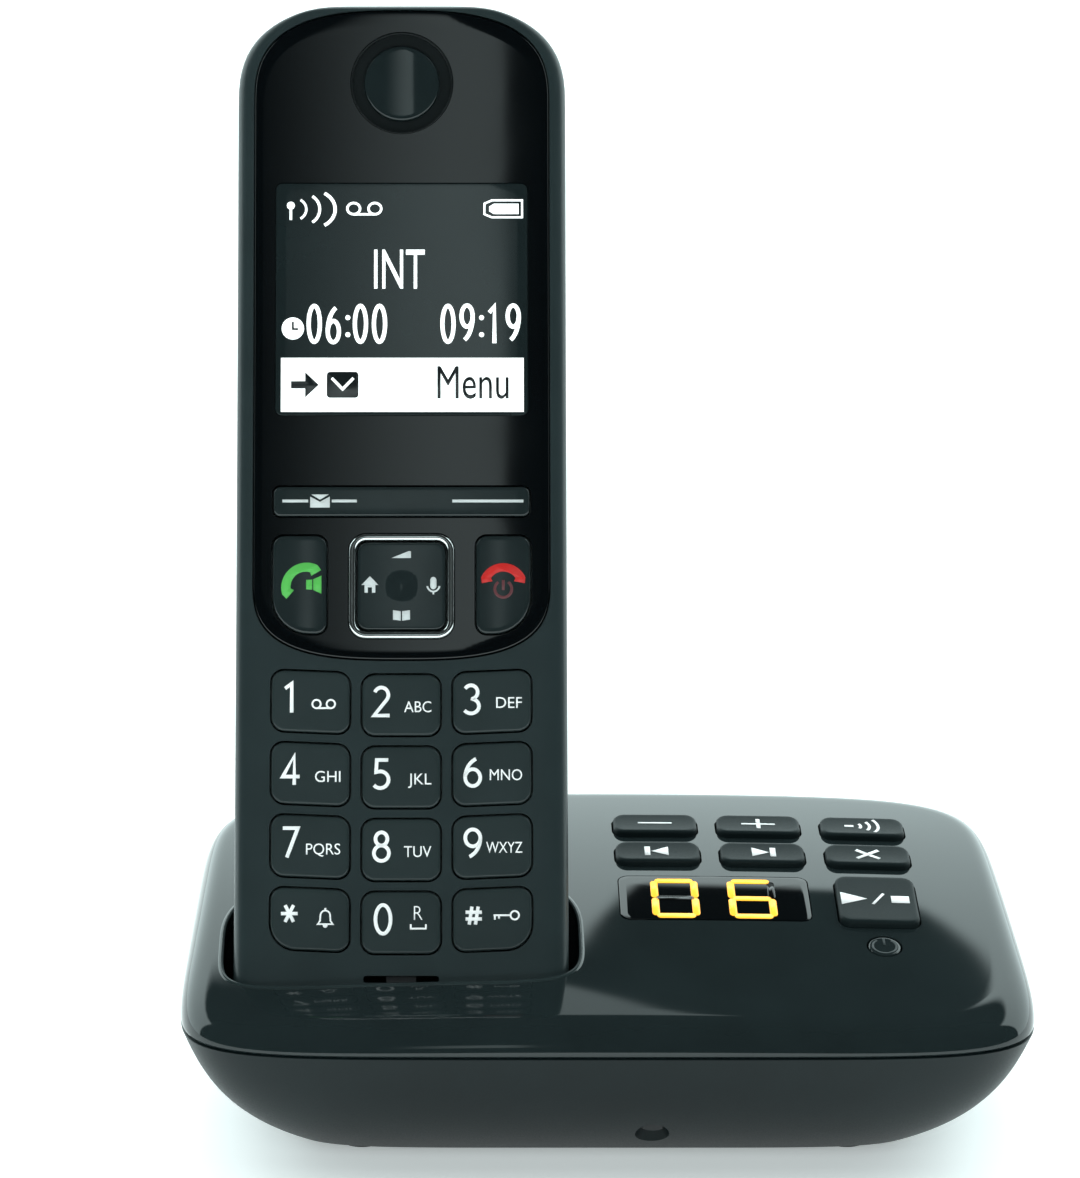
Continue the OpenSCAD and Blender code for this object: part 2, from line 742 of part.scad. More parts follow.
module base_upper_shell() {
    color("#2f3c3f") difference() {
        in_base() intersection() {
            upper_form(0, post_split);
            union() {
                difference() {
                    block([-half_w - 1, -half_d - 1, seam_z + shell_gap / 2], [half_w + 1, half_d + 1, seam_z + 60]);
                    upper_form(base_wall, seam_z - base_wall - 1);
                }
                on_posts(post_split + shell_gap) cylinder(40, post_r, post_r, $fn = 32);
            }
        }
        in_handset() cup_space(0, 0, 60);
        in_base() on_posts(post_split - 1) cylinder(9, screw_r, screw_r, $fn = 24);
        for (x = ctrl_cols, y = ctrl_rows) on_top([x, y])
            plate(ctrl_w + 2 * key_gap, ctrl_d + 2 * key_gap, ctrl_r + key_gap, -6, 6);
        on_top(play_at) plate(play_size.x + 2 * key_gap, play_size.y + 2 * key_gap, ctrl_r + key_gap, -6, 6);
        on_top(answer_at) plate(answer_size.x + 2 * key_gap, answer_size.y + 2 * key_gap,
            answer_size.y / 2 + key_gap - 0.01, -6, 6);
        on_top(base_window_at) plate(base_window_size.x + 2 * seat_gap, base_window_size.y + 2 * seat_gap,
            base_window_r + seat_gap, -6, 6);
    }
}

module base_lower_shell() {
    color("#26323a") in_base() difference() {
        intersection() {
            lower_form(0, foot_h, seam_z - shell_gap / 2);
            union() {
                difference() {
                    block([-half_w - 1, -half_d - 1, 0], [half_w + 1, half_d + 1, seam_z]);
                    lower_form(base_wall, foot_h + base_wall, seam_z + 1);
                }
                on_posts(foot_h) cylinder(post_split - foot_h, post_r + 1, post_r + 1, $fn = 32);
            }
        }
        on_posts(0) cylinder(30, screw_r + 0.2, screw_r + 0.2, $fn = 24);
        on_posts(0) cylinder(screw_seat, screw_head_r + 0.2, screw_head_r + 0.2, $fn = 32);
        for (p = feet_at) translate([p.x, p.y, 0]) cylinder(foot_h + foot_seat, foot_r + 0.1, foot_r + 0.1, $fn = 48);
        for (x = [line_x, power_x]) block([x - socket_size.x / 2 - 0.3, socket_y - 4, socket_z - socket_size.y / 2 - 0.3],
            [x + socket_size.x / 2 + 0.3, half_d + 5, socket_z + socket_size.y / 2 + 0.3]);
        // Slots that let the loudspeaker sound downwards
        for (k = [-3 : 3]) translate([speaker_at.x + 3 * k, speaker_at.y, 0])
            plate(1.2, 2 * sqrt(pow(speaker_r - 2, 2) - pow(3 * k, 2)), 0.55, 0, 6);
    }
}

module cradle_cup() {
    color("#12191c") {
        intersection() {
            in_handset() difference() {
                intersection() {
                    cup_space(cup_wall, cup_floor - cup_wall, 60);
                    cup_front_view(cup_wall);
                }
                intersection() {
                    cup_space(0, cup_floor, 61);
                    cup_front_view(0);
                }
                for (s = [-1, 1]) translate([s * pad_x, pad_y, 0])
                    block([-contact_size.x / 2 - 0.2, -contact_size.y / 2 - 0.2, -5],
                        [contact_size.x / 2 + 0.2, contact_size.y / 2 + 0.2, 2]);
            }
            in_base() upper_form(base_wall + 0.1, 5);
        }
    }
}

module charge_contact(side) {
    color("#cfd3d4") in_handset() translate([side * pad_x, pad_y, 0]) {
        block([-contact_size.x / 2, -contact_size.y / 2, cup_floor - cup_wall - 0.4],
            [contact_size.x / 2, contact_size.y / 2, pad_z.x - 0.5]);
        translate([0, 0, pad_z.x - 0.55]) cylinder(0.5, contact_size.y / 2 - 0.1, 0.6, $fn = 24);
        block([-contact_size.x / 2 - 0.9, -contact_size.y / 2 - 0.9, cup_floor - cup_wall - 1.8],
            [contact_size.x / 2 + 0.9, contact_size.y / 2 + 0.9, cup_floor - cup_wall - 0.35]);
    }
}

module charge_contact_left() { charge_contact(-1); }
module charge_contact_right() { charge_contact(1); }

module base_window() {
    color("#0a0d0e") on_top(base_window_at) plate(base_window_size.x, base_window_size.y, base_window_r, -1.3, 0.1);
}

module digit_display() {
    color("#1b2022") on_top(base_window_at) plate(base_window_size.x - 2, base_window_size.y - 1, 0.5, -ctrl_back - 2.6, -2);
}

// One bar of a seven-segment digit; the digits read 0 and 6
module segment(w, h) {
    plate(w, h, 0.35, -1.95, -1.35);
}

module seven_segments(on) {
    bar = digit_w - segment_w - 0.6;
    post = digit_h / 2 - segment_w - 0.3;
    for (k = [0 : 2]) if (on[k]) translate([0, (1 - k) * (digit_h - segment_w) / 2]) segment(bar, segment_w);
    for (k = [0 : 3]) if (on[3 + k])
        translate([(k % 2 == 0 ? -1 : 1) * (digit_w - segment_w) / 2, (k < 2 ? 1 : -1) * (digit_h - segment_w) / 4])
            segment(segment_w, post);
}

module display_segments() {
    color("#f7b733") on_top(base_window_at) {
        translate([digit_x[0] - base_window_at.x, -0.3]) seven_segments([true, false, true, true, true, true, true]);
        translate([digit_x[1] - base_window_at.x, -0.3]) seven_segments([true, true, true, true, false, true, true]);
    }
}

// A raised base key: a cap above the surface, a skirt below it and a stem to the mat
module ctrl_key(at, size, r, proud) {
    on_top(at) {
        plate(size.x - 0.8, size.y - 0.8, r - 0.4, proud - 0.41, proud);
        plate(size.x, size.y, r, -ctrl_back + 0.6, proud - 0.4);
    }
}

module base_key_minus() { color("#20292b") ctrl_key([ctrl_cols[0], ctrl_rows[0]], [ctrl_w, ctrl_d], ctrl_r, ctrl_proud); }
module base_key_plus() { color("#20292b") ctrl_key([ctrl_cols[1], ctrl_rows[0]], [ctrl_w, ctrl_d], ctrl_r, ctrl_proud); }
module base_key_page() { color("#20292b") ctrl_key([ctrl_cols[2], ctrl_rows[0]], [ctrl_w, ctrl_d], ctrl_r, ctrl_proud); }
module base_key_previous() { color("#20292b") ctrl_key([ctrl_cols[0], ctrl_rows[1]], [ctrl_w, ctrl_d], ctrl_r, ctrl_proud); }
module base_key_next() { color("#20292b") ctrl_key([ctrl_cols[1], ctrl_rows[1]], [ctrl_w, ctrl_d], ctrl_r, ctrl_proud); }
module base_key_delete() { color("#20292b") ctrl_key([ctrl_cols[2], ctrl_rows[1]], [ctrl_w, ctrl_d], ctrl_r, ctrl_proud); }
module base_key_play_stop() { color("#20292b") ctrl_key(play_at, play_size, ctrl_r, ctrl_proud); }
module base_key_answer() { color("#1d2628") ctrl_key(answer_at, answer_size, answer_size.y / 2 - 0.01, 0.3); }

ctrl_mat_top = -ctrl_back + 0.6 - ctrl_travel - 0.15;

module control_mat() {
    color("#5f686a") on_top(ctrl_board_at)
        plate(ctrl_board_size.x, ctrl_board_size.y, 1, ctrl_mat_top - 3.7, ctrl_mat_top - 2.5);
}

module control_board() {
    color("#2f6b46") on_top(ctrl_board_at)
        plate(ctrl_board_size.x, ctrl_board_size.y, 1, ctrl_mat_top - 5, ctrl_mat_top - 3.8);
}

module base_board() {
    color("#2f6b46") in_base() difference() {
        union() {
            block([1.5, -20, 15.2], [44, 23, 16.4]);
            block([-20, 6, 15.2], [2, 23, 16.4]);
        }
        for (p = [[6, 18], [40, -16]]) translate([p.x, p.y, 10]) cylinder(10, 1.2, 1.2, $fn = 24);
    }
}

module loudspeaker() {
    color("#3f4547") in_base() translate([speaker_at.x, speaker_at.y, foot_h + base_wall]) {
        difference() {
            cylinder(2.4, speaker_r, speaker_r, $fn = 64);
            translate([0, 0, -1]) cylinder(2.4, speaker_r - 2, speaker_r - 3.5, $fn = 64);
        }
        translate([0, 0, 2.4]) cylinder(2.6, speaker_r - 1, speaker_r - 6, $fn = 64);
        translate([0, 0, 5]) cylinder(3, speaker_r / 2, speaker_r / 2, $fn = 48);
    }
}

module rubber_feet() {
    color("#191d1e") in_base() for (p = feet_at) translate([p.x, p.y, 0]) {
        cylinder(0.5, foot_r - 0.5, foot_r, $fn = 48);
        translate([0, 0, 0.5]) cylinder(foot_h + foot_seat - 0.5, foot_r, foot_r, $fn = 48);
    }
}

module base_screws() {
    color("#8f9698") in_base() on_posts(screw_seat) difference() {
        union() {
            mirror([0, 0, 1]) cylinder(1.8, screw_head_r, screw_head_r - 0.5, $fn = 32);
            translate([0, 0, -0.1]) cylinder(11, screw_r - 0.02, screw_r - 0.02, $fn = 24);
        }
        for (a = [0, 90]) rotate([0, 0, a]) translate([-1.2, -0.3, -2.5]) cube([2.4, 0.6, 1.5]);
    }
}

// A modular socket whose mouth faces back
module modular_socket(x, hole) {
    in_base() translate([x, socket_y, socket_z]) difference() {
        block([-socket_size.x / 2, -socket_size.z, -socket_size.y / 2], [socket_size.x / 2, 0, socket_size.y / 2]);
        block([-hole.x / 2, -hole.z, -hole.y / 2], [hole.x / 2, 1, hole.y / 2]);
        block([-2, -hole.z, hole.y / 2 - 0.1], [2, 1, hole.y / 2 + 0.9]);
    }
}

module line_socket() { color("#23282a") modular_socket(line_x, socket_hole); }
module power_socket() { color("#23282a") modular_socket(power_x, power_hole); }

base_upper_shell();
base_lower_shell();
cradle_cup();
base_window();
digit_display();
display_segments();
control_mat();
control_board();
base_board();
loudspeaker();
rubber_feet();
base_screws();
line_socket();
power_socket();
base_key_minus();
base_key_plus();
base_key_page();
base_key_previous();
base_key_next();
base_key_delete();
base_key_play_stop();
base_key_answer();
charge_contact_left();
charge_contact_right();
front_shell();
rear_shell();
gloss_panel();
display_window();
lcd_module();
earpiece_cap();
earpiece_ring();
earpiece_speaker();
handset_board();
key_mat();
nav_ring();
nav_hub();
nav_key();
microphone();
ringer_speaker();
batteries();
battery_contacts();
charge_pads();
handset_screws();
battery_door();
key_1();
key_2();
key_3();
key_4();
key_5();
key_6();
key_7();
key_8();
key_9();
key_star();
key_0();
key_hash();
softkey_bar();
talk_key();
end_key();
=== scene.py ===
"""Looks of the cordless phone: casings, keys, displays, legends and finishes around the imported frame."""

import logging
import math
from dataclasses import dataclass, field
from enum import Enum
from typing import Callable, Sequence

import bmesh
import bpy
import numpy as np
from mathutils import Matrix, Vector


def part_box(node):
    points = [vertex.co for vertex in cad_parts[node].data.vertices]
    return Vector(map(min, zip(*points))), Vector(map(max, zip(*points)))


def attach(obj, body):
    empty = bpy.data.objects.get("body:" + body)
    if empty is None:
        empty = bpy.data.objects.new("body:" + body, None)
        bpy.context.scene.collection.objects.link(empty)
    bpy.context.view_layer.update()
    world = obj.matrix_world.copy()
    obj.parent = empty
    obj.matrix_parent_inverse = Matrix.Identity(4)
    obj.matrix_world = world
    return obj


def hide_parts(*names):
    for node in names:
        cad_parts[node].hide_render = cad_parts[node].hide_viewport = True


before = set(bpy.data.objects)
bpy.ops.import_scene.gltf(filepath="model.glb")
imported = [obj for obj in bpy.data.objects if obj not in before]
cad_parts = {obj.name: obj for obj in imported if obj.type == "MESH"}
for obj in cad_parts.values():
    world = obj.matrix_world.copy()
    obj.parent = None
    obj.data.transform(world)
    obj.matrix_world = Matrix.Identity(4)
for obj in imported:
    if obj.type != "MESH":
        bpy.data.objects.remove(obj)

log = logging.getLogger("phone")
Array = np.ndarray
Object = bpy.types.Object
Height = Callable[[Array, Array], Array]
Outline = Callable[[float], Array]
MM = 0.001
SHARP = math.radians(32)
PRINT_RISE = 0.02
PRINT_T = 0.02


# ---- Places ----


@dataclass(frozen=True)
class Place:
    """A local frame in millimetres: its origin and its three axes in the row frame."""

    origin: tuple[float, float, float]
    axes: tuple[tuple[float, float, float], ...] = ((1, 0, 0), (0, 1, 0), (0, 0, 1))

    def row(self, points: Array) -> Array:
        """Puts local points into the row frame.

        Args:
            points: an array of (a, b, h) in millimetres.

        Returns:
            The points in metres.
        """
        return (np.asarray(points) @ np.array(self.axes, float) + np.array(self.origin, float)) * MM


def tilted(origin: Sequence[float], degrees: float) -> Place:
    """A place whose first axis is X and whose third leans from Z towards -Y by an angle."""
    s, c = math.sin(math.radians(degrees)), math.cos(math.radians(degrees))
    return Place(tuple(origin), ((1, 0, 0), (0, c, s), (0, -s, c)))


# ---- Curves and outlines ----


def signed_pow(value: Array, power: float) -> Array:
    """Raises the size of a value to a power and keeps its sign."""
    return np.sign(value) * np.abs(value) ** power


def evened(curve: Array, count: int, closed: bool = True) -> Array:
    """Spaces points evenly along a curve.

    Args:
        curve: dense points of the curve, one per row.
        count: how many points come back.
        closed: whether the curve runs back to its start.

    Returns:
        The points, with the end left out where the curve is closed.
    """
    line = np.vstack([curve, curve[:1]]) if closed else curve
    run = np.concatenate([[0], np.cumsum(np.linalg.norm(np.diff(line, axis=0), axis=1))])
    at = np.linspace(0, run[-1], count + (1 if closed else 0))[: count]
    return np.stack([np.interp(at, run, line[:, k]) for k in range(line.shape[1])], 1)


def rounded(w: float, h: float, radii: Sequence[float] | float, slope: float = 0.0,
            at: Sequence[float] = (0.0, 0.0)) -> Outline:
    """A rectangle with a circular arc at each corner, as a function of its inset.

    Args:
        w: width.
        h: height.
        radii: one radius, or those of the lower left, lower right, upper right and upper left corners.
        slope: how far the outline drops for each millimetre to the right.
        at: its middle.

    Returns:
        A function that gives the outline's points for an inset.
    """
    corner_r = [radii] * 4 if isinstance(radii, (int, float)) else list(radii)
    turns = np.radians([180, 270, 0, 90])
    arc = np.radians(np.linspace(0, 90, 9))

    def outline(inset: float) -> Array:
        """The rectangle drawn in by an inset."""
        parts = []
        for k, (sx, sy) in enumerate([(-1, -1), (1, -1), (1, 1), (-1, 1)]):
            r = max(corner_r[k] - inset, 0.04)
            middle = np.array([sx * (w / 2 - inset - r), sy * (h / 2 - inset - r)])
            parts.append(middle + r * np.stack([np.cos(arc + turns[k]), np.sin(arc + turns[k])], 1))
        sides = []
        for k, part in enumerate(parts):
            gap = np.linspace(0, 1, 7)[1:-1, None]
            sides += [part, part[-1] + (parts[(k + 1) % 4][0] - part[-1]) * gap]
        points = np.vstack(sides)
        points[:, 1] -= slope * points[:, 0]
        return points + np.array(at)

    return outline


def disc(r: float, at: Sequence[float] = (0.0, 0.0), count: int = 64) -> Outline:
    """A circle as a function of its inset."""
    turn = np.linspace(0, 2 * np.pi, count, endpoint=False)
    return lambda inset: np.array(at) + (r - inset) * np.stack([np.cos(turn), np.sin(turn)], 1)


# ---- Shapes ----


@dataclass
class Shape:
    """Vertices and faces gathered in a local frame, in millimetres."""

    points: list[Array] = field(default_factory=list)
    faces: list[tuple[int, ...]] = field(default_factory=list)
    count: int = 0

    def lattice(self, rows: Array, around: bool = True, along: bool = False) -> "Shape":
        """Adds a grid of four-sided faces through rows of points.

        Args:
            rows: an array of rows, points and coordinates.
            around: whether each row closes on itself.
            along: whether the last row joins the first.

        Returns:
            This shape.
        """
        m, n = rows.shape[:2]
        i = np.arange(m if along else m - 1)[:, None]
        j = np.arange(n if around else n - 1)[None, :]
        i2, j2 = (i + 1) % m, (j + 1) % n
        quads = np.stack([i * n + j, i * n + j2, i2 * n + j2, i2 * n + j], -1).reshape(-1, 4)
        self.faces += [tuple(q) for q in (quads + self.count).tolist()]
        self.points.append(rows.reshape(-1, 3))
        self.count += m * n
        return self

    def polygon(self, points: Array) -> "Shape":
        """Adds one flat face."""
        self.faces.append(tuple(range(self.count, self.count + len(points))))
        self.points.append(points)
        self.count += len(points)
        return self

    def made(self, name: str, place: Place, closed: bool = True) -> Object:
        """Makes an object with its place in its mesh.

        Args:
            name: the piece's name.
            place: the local frame of the points.
            closed: whether the shape is a closed solid, whose normals are then turned outwards.

        Returns:
            The object, at the origin.
        """
        mesh = bpy.data.meshes.new(name)
        mesh.from_pydata(place.row(np.vstack(self.points)).tolist(), [], self.faces)
        if closed:
            edit = bmesh.new()
            edit.from_mesh(mesh)
            bmesh.ops.remove_doubles(edit, verts=edit.verts, dist=2e-6)
            bmesh.ops.dissolve_degenerate(edit, edges=edit.edges, dist=1e-7)
            bmesh.ops.recalc_face_normals(edit, faces=edit.faces)
            edit.to_mesh(mesh)
            edit.free()
        return linked(name, mesh)


def linked(name: str, mesh: bpy.types.Mesh) -> Object:
    """Adds a mesh to the scene, smooth except at its sharp edges."""
    mesh.shade_smooth()
    mesh.set_sharp_from_angle(angle=SHARP)
    piece = bpy.data.objects.new(name, mesh)
    bpy.context.scene.collection.objects.link(piece)
    return piece


def raised(points: Array, height: Height | float) -> Array:
    """Gives plan points a height, from a function of their two coordinates or a number."""
    h = height(points[:, 0], points[:, 1]) if callable(height) else np.full(len(points), float(height))
    return np.column_stack([points, h])


def prism(outline: Outline, low: Height | float, high: Height | float, inset: float = 0.0) -> Shape:
    """A straight-sided solid over an outline.

    Args:
        outline: the outline as a function of its inset.
        low: the height of its underside.
        high: the height of its top.
        inset: how far the outline is drawn in, or grown where it is negative.

    Returns:
        The shape: rows from the middle of the underside to the middle of the top.
    """
    edge = outline(inset)
    middle = edge.mean(0)
    shares = np.array([0, 0.5, 1.0])
    rows = [raised(middle + (edge - middle) * s, low) for s in shares]
    rows += [raised(middle + (edge - middle) * s, high) for s in shares[::-1]]
    return Shape().lattice(np.stack(rows))


def cap(outline: Outline, top: Height, low: float, edge: float = 0.3, rings: int = 9,
        stem: tuple[float, float] | None = None) -> Shape:
    """A key, plate or lens with a shaped top and a rounded edge.

    The top's rings are the outline drawn towards its middle, lifted by the top's height. The edge is a
    quarter circle from the top to the side, the side runs straight down, and the underside is flat.

    Args:
        outline: the outline as a function of its inset.
        top: the height of the top.
        low: the height of the underside.
        edge: radius of the rounded edge.
        rings: rings of points across the top.
        stem: radius and lowest height of a stem below the middle.

    Returns:
        The shape.
    """
    inner = outline(edge)
    middle = inner.mean(0)
    rows = [raised(middle + (inner - middle) * s, top) for s in np.linspace(0, 1, rings)]
    for turn in np.radians([18, 36, 54, 72, 90]):
        ring = raised(outline(edge * (1 - math.sin(turn))), top)
        ring[:, 2] -= edge * (1 - math.cos(turn))
        rows.append(ring)
    side = outline(0)
    rows += [raised(side, low), raised(middle + (side - middle) * 0.5, low)]
    if stem:
        spread = side - middle
        circle = middle + spread / np.linalg.norm(spread, axis=1, keepdims=True) * stem[0]
        rows += [raised(circle, low), raised(circle, stem[1])]
    rows.append(raised(np.repeat(middle[None], len(side), 0), stem[1] if stem else low))
    return Shape().lattice(np.stack(rows))


def moulding(outline: Outline, profile: Sequence[tuple[float, float]], height: Height | float = 0.0) -> Shape:
    """Carries a closed profile of (inset, rise) round an outline, over a height."""
    rows = []
    for inset, rise in profile:
        ring = raised(outline(inset), height)
        ring[:, 2] += rise
        rows.append(ring)
    return Shape().lattice(np.stack(rows), along=True)


def joined(name: str, parts: Sequence[tuple[Shape, Place]]) -> Object:
    """Makes one object out of several shapes that each have a place of their own."""
    whole = Shape()
    for shape, place in parts:
        whole.faces += [tuple(k + whole.count for k in f) for f in shape.faces]
        whole.points.append(place.row(np.vstack(shape.points)) / MM)
        whole.count += shape.count
    return whole.made(name, Place((0, 0, 0)))


def carved(piece: Object, cuts: Sequence[tuple[Shape, Place]]) -> Object:
    """Cuts solids out of a piece.

    Args:
        piece: the solid that is cut.
        cuts: the shapes to take away, clear of each other, with their places.

    Returns:
        The piece with its new mesh.
    """
    tool = joined("cutter", cuts)
    modifier = piece.modifiers.new("cut", "BOOLEAN")
    modifier.object, modifier.operation, modifier.solver = tool, "DIFFERENCE", "EXACT"
    bpy.context.view_layer.update()
    result = bpy.data.meshes.new_from_object(piece.evaluated_get(bpy.context.evaluated_depsgraph_get()))
    piece.modifiers.clear()
    old, piece.data = piece.data, result
    result.name = piece.name
    bpy.data.meshes.remove(old)
    bpy.data.objects.remove(tool)
    result.shade_smooth()
    result.set_sharp_from_angle(angle=SHARP)
    return piece


# ---- Strokes and legends ----


def arc(cx: float, cy: float, rx: float, ry: float, start: float, stop: float, count: int = 15) -> Array:
    """Points of an oval arc, with its angles in degrees."""
    turn = np.radians(np.linspace(start, stop, count))
    return np.stack([cx + rx * np.cos(turn), cy + ry * np.sin(turn)], 1)


def run(*parts: Sequence) -> Array:
    """Joins points and arcs into one path."""
    return np.vstack([np.atleast_2d(np.asarray(p, float)) for p in parts])


def ribbon(path: Array, width: float, closed: bool = False) -> Shape:
    """A flat stroke of constant width along a path, with mitred corners."""
    ahead, behind = np.roll(path, -1, 0) - path, path - np.roll(path, 1, 0)
    if not closed:
        ahead[-1], behind[0] = behind[-1], ahead[0]
    unit = [v / np.maximum(np.linalg.norm(v, axis=1, keepdims=True), 1e-9) for v in (ahead, behind)]
    across = unit[0] + unit[1]
    across /= np.maximum(np.linalg.norm(across, axis=1, keepdims=True), 1e-9)
    normal = np.stack([-across[:, 1], across[:, 0]], 1)
    miter = np.clip(np.sum(across * unit[0], 1), 0.5, 1)[:, None]
    sides = np.stack([path - normal * width / 2 / miter, path + normal * width / 2 / miter])
    return Shape().lattice(np.dstack([sides, np.zeros(sides.shape[:2])]), around=closed)




def digit_strokes() -> dict[str, list[tuple[Array, bool]]]:
    """Centre lines of the digits and signs in a box one unit high, each with whether it is closed."""
    six = [(arc(0.29, 0.30, 0.235, 0.275, 0, 360, 33)[:-1], True),
           (arc(0.60, 0.30, 0.545, 0.66, 178, 112), False)]
    spokes = [(run((0.3 + 0.26 * math.cos(a), 0.5 + 0.3 * math.sin(a)),
                   (0.3 - 0.26 * math.cos(a), 0.5 - 0.3 * math.sin(a))), False)
              for a in np.radians([0, 60, 120])]
    bars = [(run((x - 0.05, 0.18), (x + 0.05, 0.82)), False) for x in (0.2, 0.42)]
    bars += [(run((0.02, y), (0.6, y)), False) for y in (0.38, 0.62)]
    return {
        "0": [(arc(0.29, 0.5, 0.235, 0.465, 0, 360, 37)[:-1], True)],
        "1": [(run((0.09, 0.79), (0.30, 0.955), (0.30, 0.0)), False)],
        "2": [(run(arc(0.27, 0.72, 0.22, 0.245, 158, -38), (0.04, 0.045), (0.53, 0.045)), False)],
        "3": [(run(arc(0.24, 0.735, 0.21, 0.225, 150, -75), arc(0.24, 0.275, 0.25, 0.24, 78, -145)), False)],
        "4": [(run((0.56, 0.27), (0.03, 0.27), (0.39, 0.955), (0.39, 0.0)), False)],
        "5": [(run((0.49, 0.955), (0.13, 0.955), (0.11, 0.56),
                   arc(0.24, 0.31, 0.26, 0.275, 105, -140)), False)],
        "6": six,
        "7": [(run((0.04, 0.955), (0.51, 0.955), (0.17, 0.0)), False)],
        "8": [(arc(0.28, 0.745, 0.185, 0.215, 0, 360, 29)[:-1], True),
              (arc(0.28, 0.28, 0.235, 0.25, 0, 360, 33)[:-1], True)],
        "9": [(np.array([0.58, 1.0]) - path, closed) for path, closed in six],
        "*": spokes,
        "#": bars,
    }


DIGITS = digit_strokes()


class Ink:
    """Collects flat strokes and patches and prints them on a surface."""

    def __init__(self, surface: Height) -> None:
        """Args:
            surface: height of the surface under the print.
        """
        self.surface = surface
        self.shape = Shape()

    def add(self, shape: Shape, at: Sequence[float] = (0.0, 0.0),
            scale: Sequence[float] = (1.0, 1.0)) -> "Ink":
        """Adds a flat shape at a place, scaled."""
        self.shape.faces += [tuple(k + self.shape.count for k in f) for f in shape.faces]
        flat = np.vstack(shape.points)[:, :2] * np.array(scale) + np.array(at)
        self.shape.points.append(np.column_stack([flat, np.zeros(len(flat))]))
        self.shape.count += len(flat)
        return self

    def line(self, path: Array, width: float, closed: bool = False) -> "Ink":
        """Adds a stroke."""
        return self.add(ribbon(np.asarray(path, float), width, closed))

    def patch(self, points: Sequence) -> "Ink":
        """Adds a filled outline."""
        flat = np.asarray(points, float)
        return self.add(Shape().polygon(np.column_stack([flat, np.zeros(len(flat))])))

    def digits(self, word: str, at: Sequence[float], size: float, width: float, squeeze: float = 1.0,
               pitch: float = 0.66) -> "Ink":
        """Writes digits from stroke centre lines.

        Args:
            word: the digits, with a colon allowed.
            at: the lower left corner of the first one.
            size: their height.
            width: the stroke's width.
            squeeze: their width as a share of the plain one.
            pitch: distance from digit to digit as a share of the height.

        Returns:
            This collection.
        """
        x = at[0]
        for sign in word:
            if sign == ":":
                for y in (0.22, 0.66):
                    self.patch(disc(width * 0.62, (x + 0.06 * size, at[1] + y * size), 12)(0))
                x += size * pitch * squeeze * 0.42
                continue
            for path, closed in DIGITS[sign]:
                scaled = path * np.array([size * squeeze, size]) + np.array([x, at[1]])
                self.line(scaled, width, closed)
            x += size * pitch * squeeze
        return self

    def word(self, text: str, at: Sequence[float], size: float, squeeze: float = 1.0,
             thin: float = 0.0) -> "Ink":
        """Writes letters with the built-in typeface.

        Args:
            text: the letters.
            at: the lower left corner.
            size: height of a capital letter.
            squeeze: their width as a share of the plain one.
            thin: how much thinner the strokes are, as a share of the size.

        Returns:
            This collection.
        """
        curve = bpy.data.curves.new("letters", "FONT")
        curve.body, curve.offset, curve.resolution_u = text, -thin, 4
        mark = bpy.data.objects.new("letters", curve)
        bpy.context.scene.collection.objects.link(mark)
        bpy.context.view_layer.update()
        mesh = bpy.data.meshes.new_from_object(mark.evaluated_get(bpy.context.evaluated_depsgraph_get()))
        flat = np.zeros(len(mesh.vertices) * 3)
        mesh.vertices.foreach_get("co", flat)
        flat = flat.reshape(-1, 3)
        flat[:, 0] -= flat[:, 0].min()
        capital = 0.69
        letters = Shape([flat], [tuple(p.vertices) for p in mesh.polygons], len(flat))
        bpy.data.objects.remove(mark)
        bpy.data.curves.remove(curve)
        bpy.data.meshes.remove(mesh)
        return self.add(letters, at, (size / capital * squeeze, size / capital))

    def printed(self, name: str, place: Place, finish: "Finish") -> Object:
        """Lays everything on the surface as one thin printed piece.

        Args:
            name: the piece's name.
            place: the surface's local frame.
            finish: the ink.

        Returns:
            The object.
        """
        flat = np.vstack(self.shape.points)
        flat[:, 2] = self.surface(flat[:, 0], flat[:, 1]) + PRINT_RISE
        outward = []
        for face in self.shape.faces:
            a, b = flat[list(face), 0], flat[list(face), 1]
            area = np.sum(a * np.roll(b, -1) - np.roll(a, -1) * b)
            outward.append(face if area > 0 else face[::-1])
        piece = Shape([flat], outward, len(flat)).made(name, place, closed=False)
        thick = piece.modifiers.new("ink", "SOLIDIFY")
        thick.thickness, thick.offset = PRINT_T * MM, 1.0
        return finish.on(piece)


# ---- Finishes ----


class Texture(Enum):
    """How a finish is broken up."""

    GRAIN = "fine spark-eroded grain"
    PEEL = "the soft ripple of a polished moulding"
    BRUSHED = "fine lines along X"
    TRACKS = "copper tracks under solder resist"


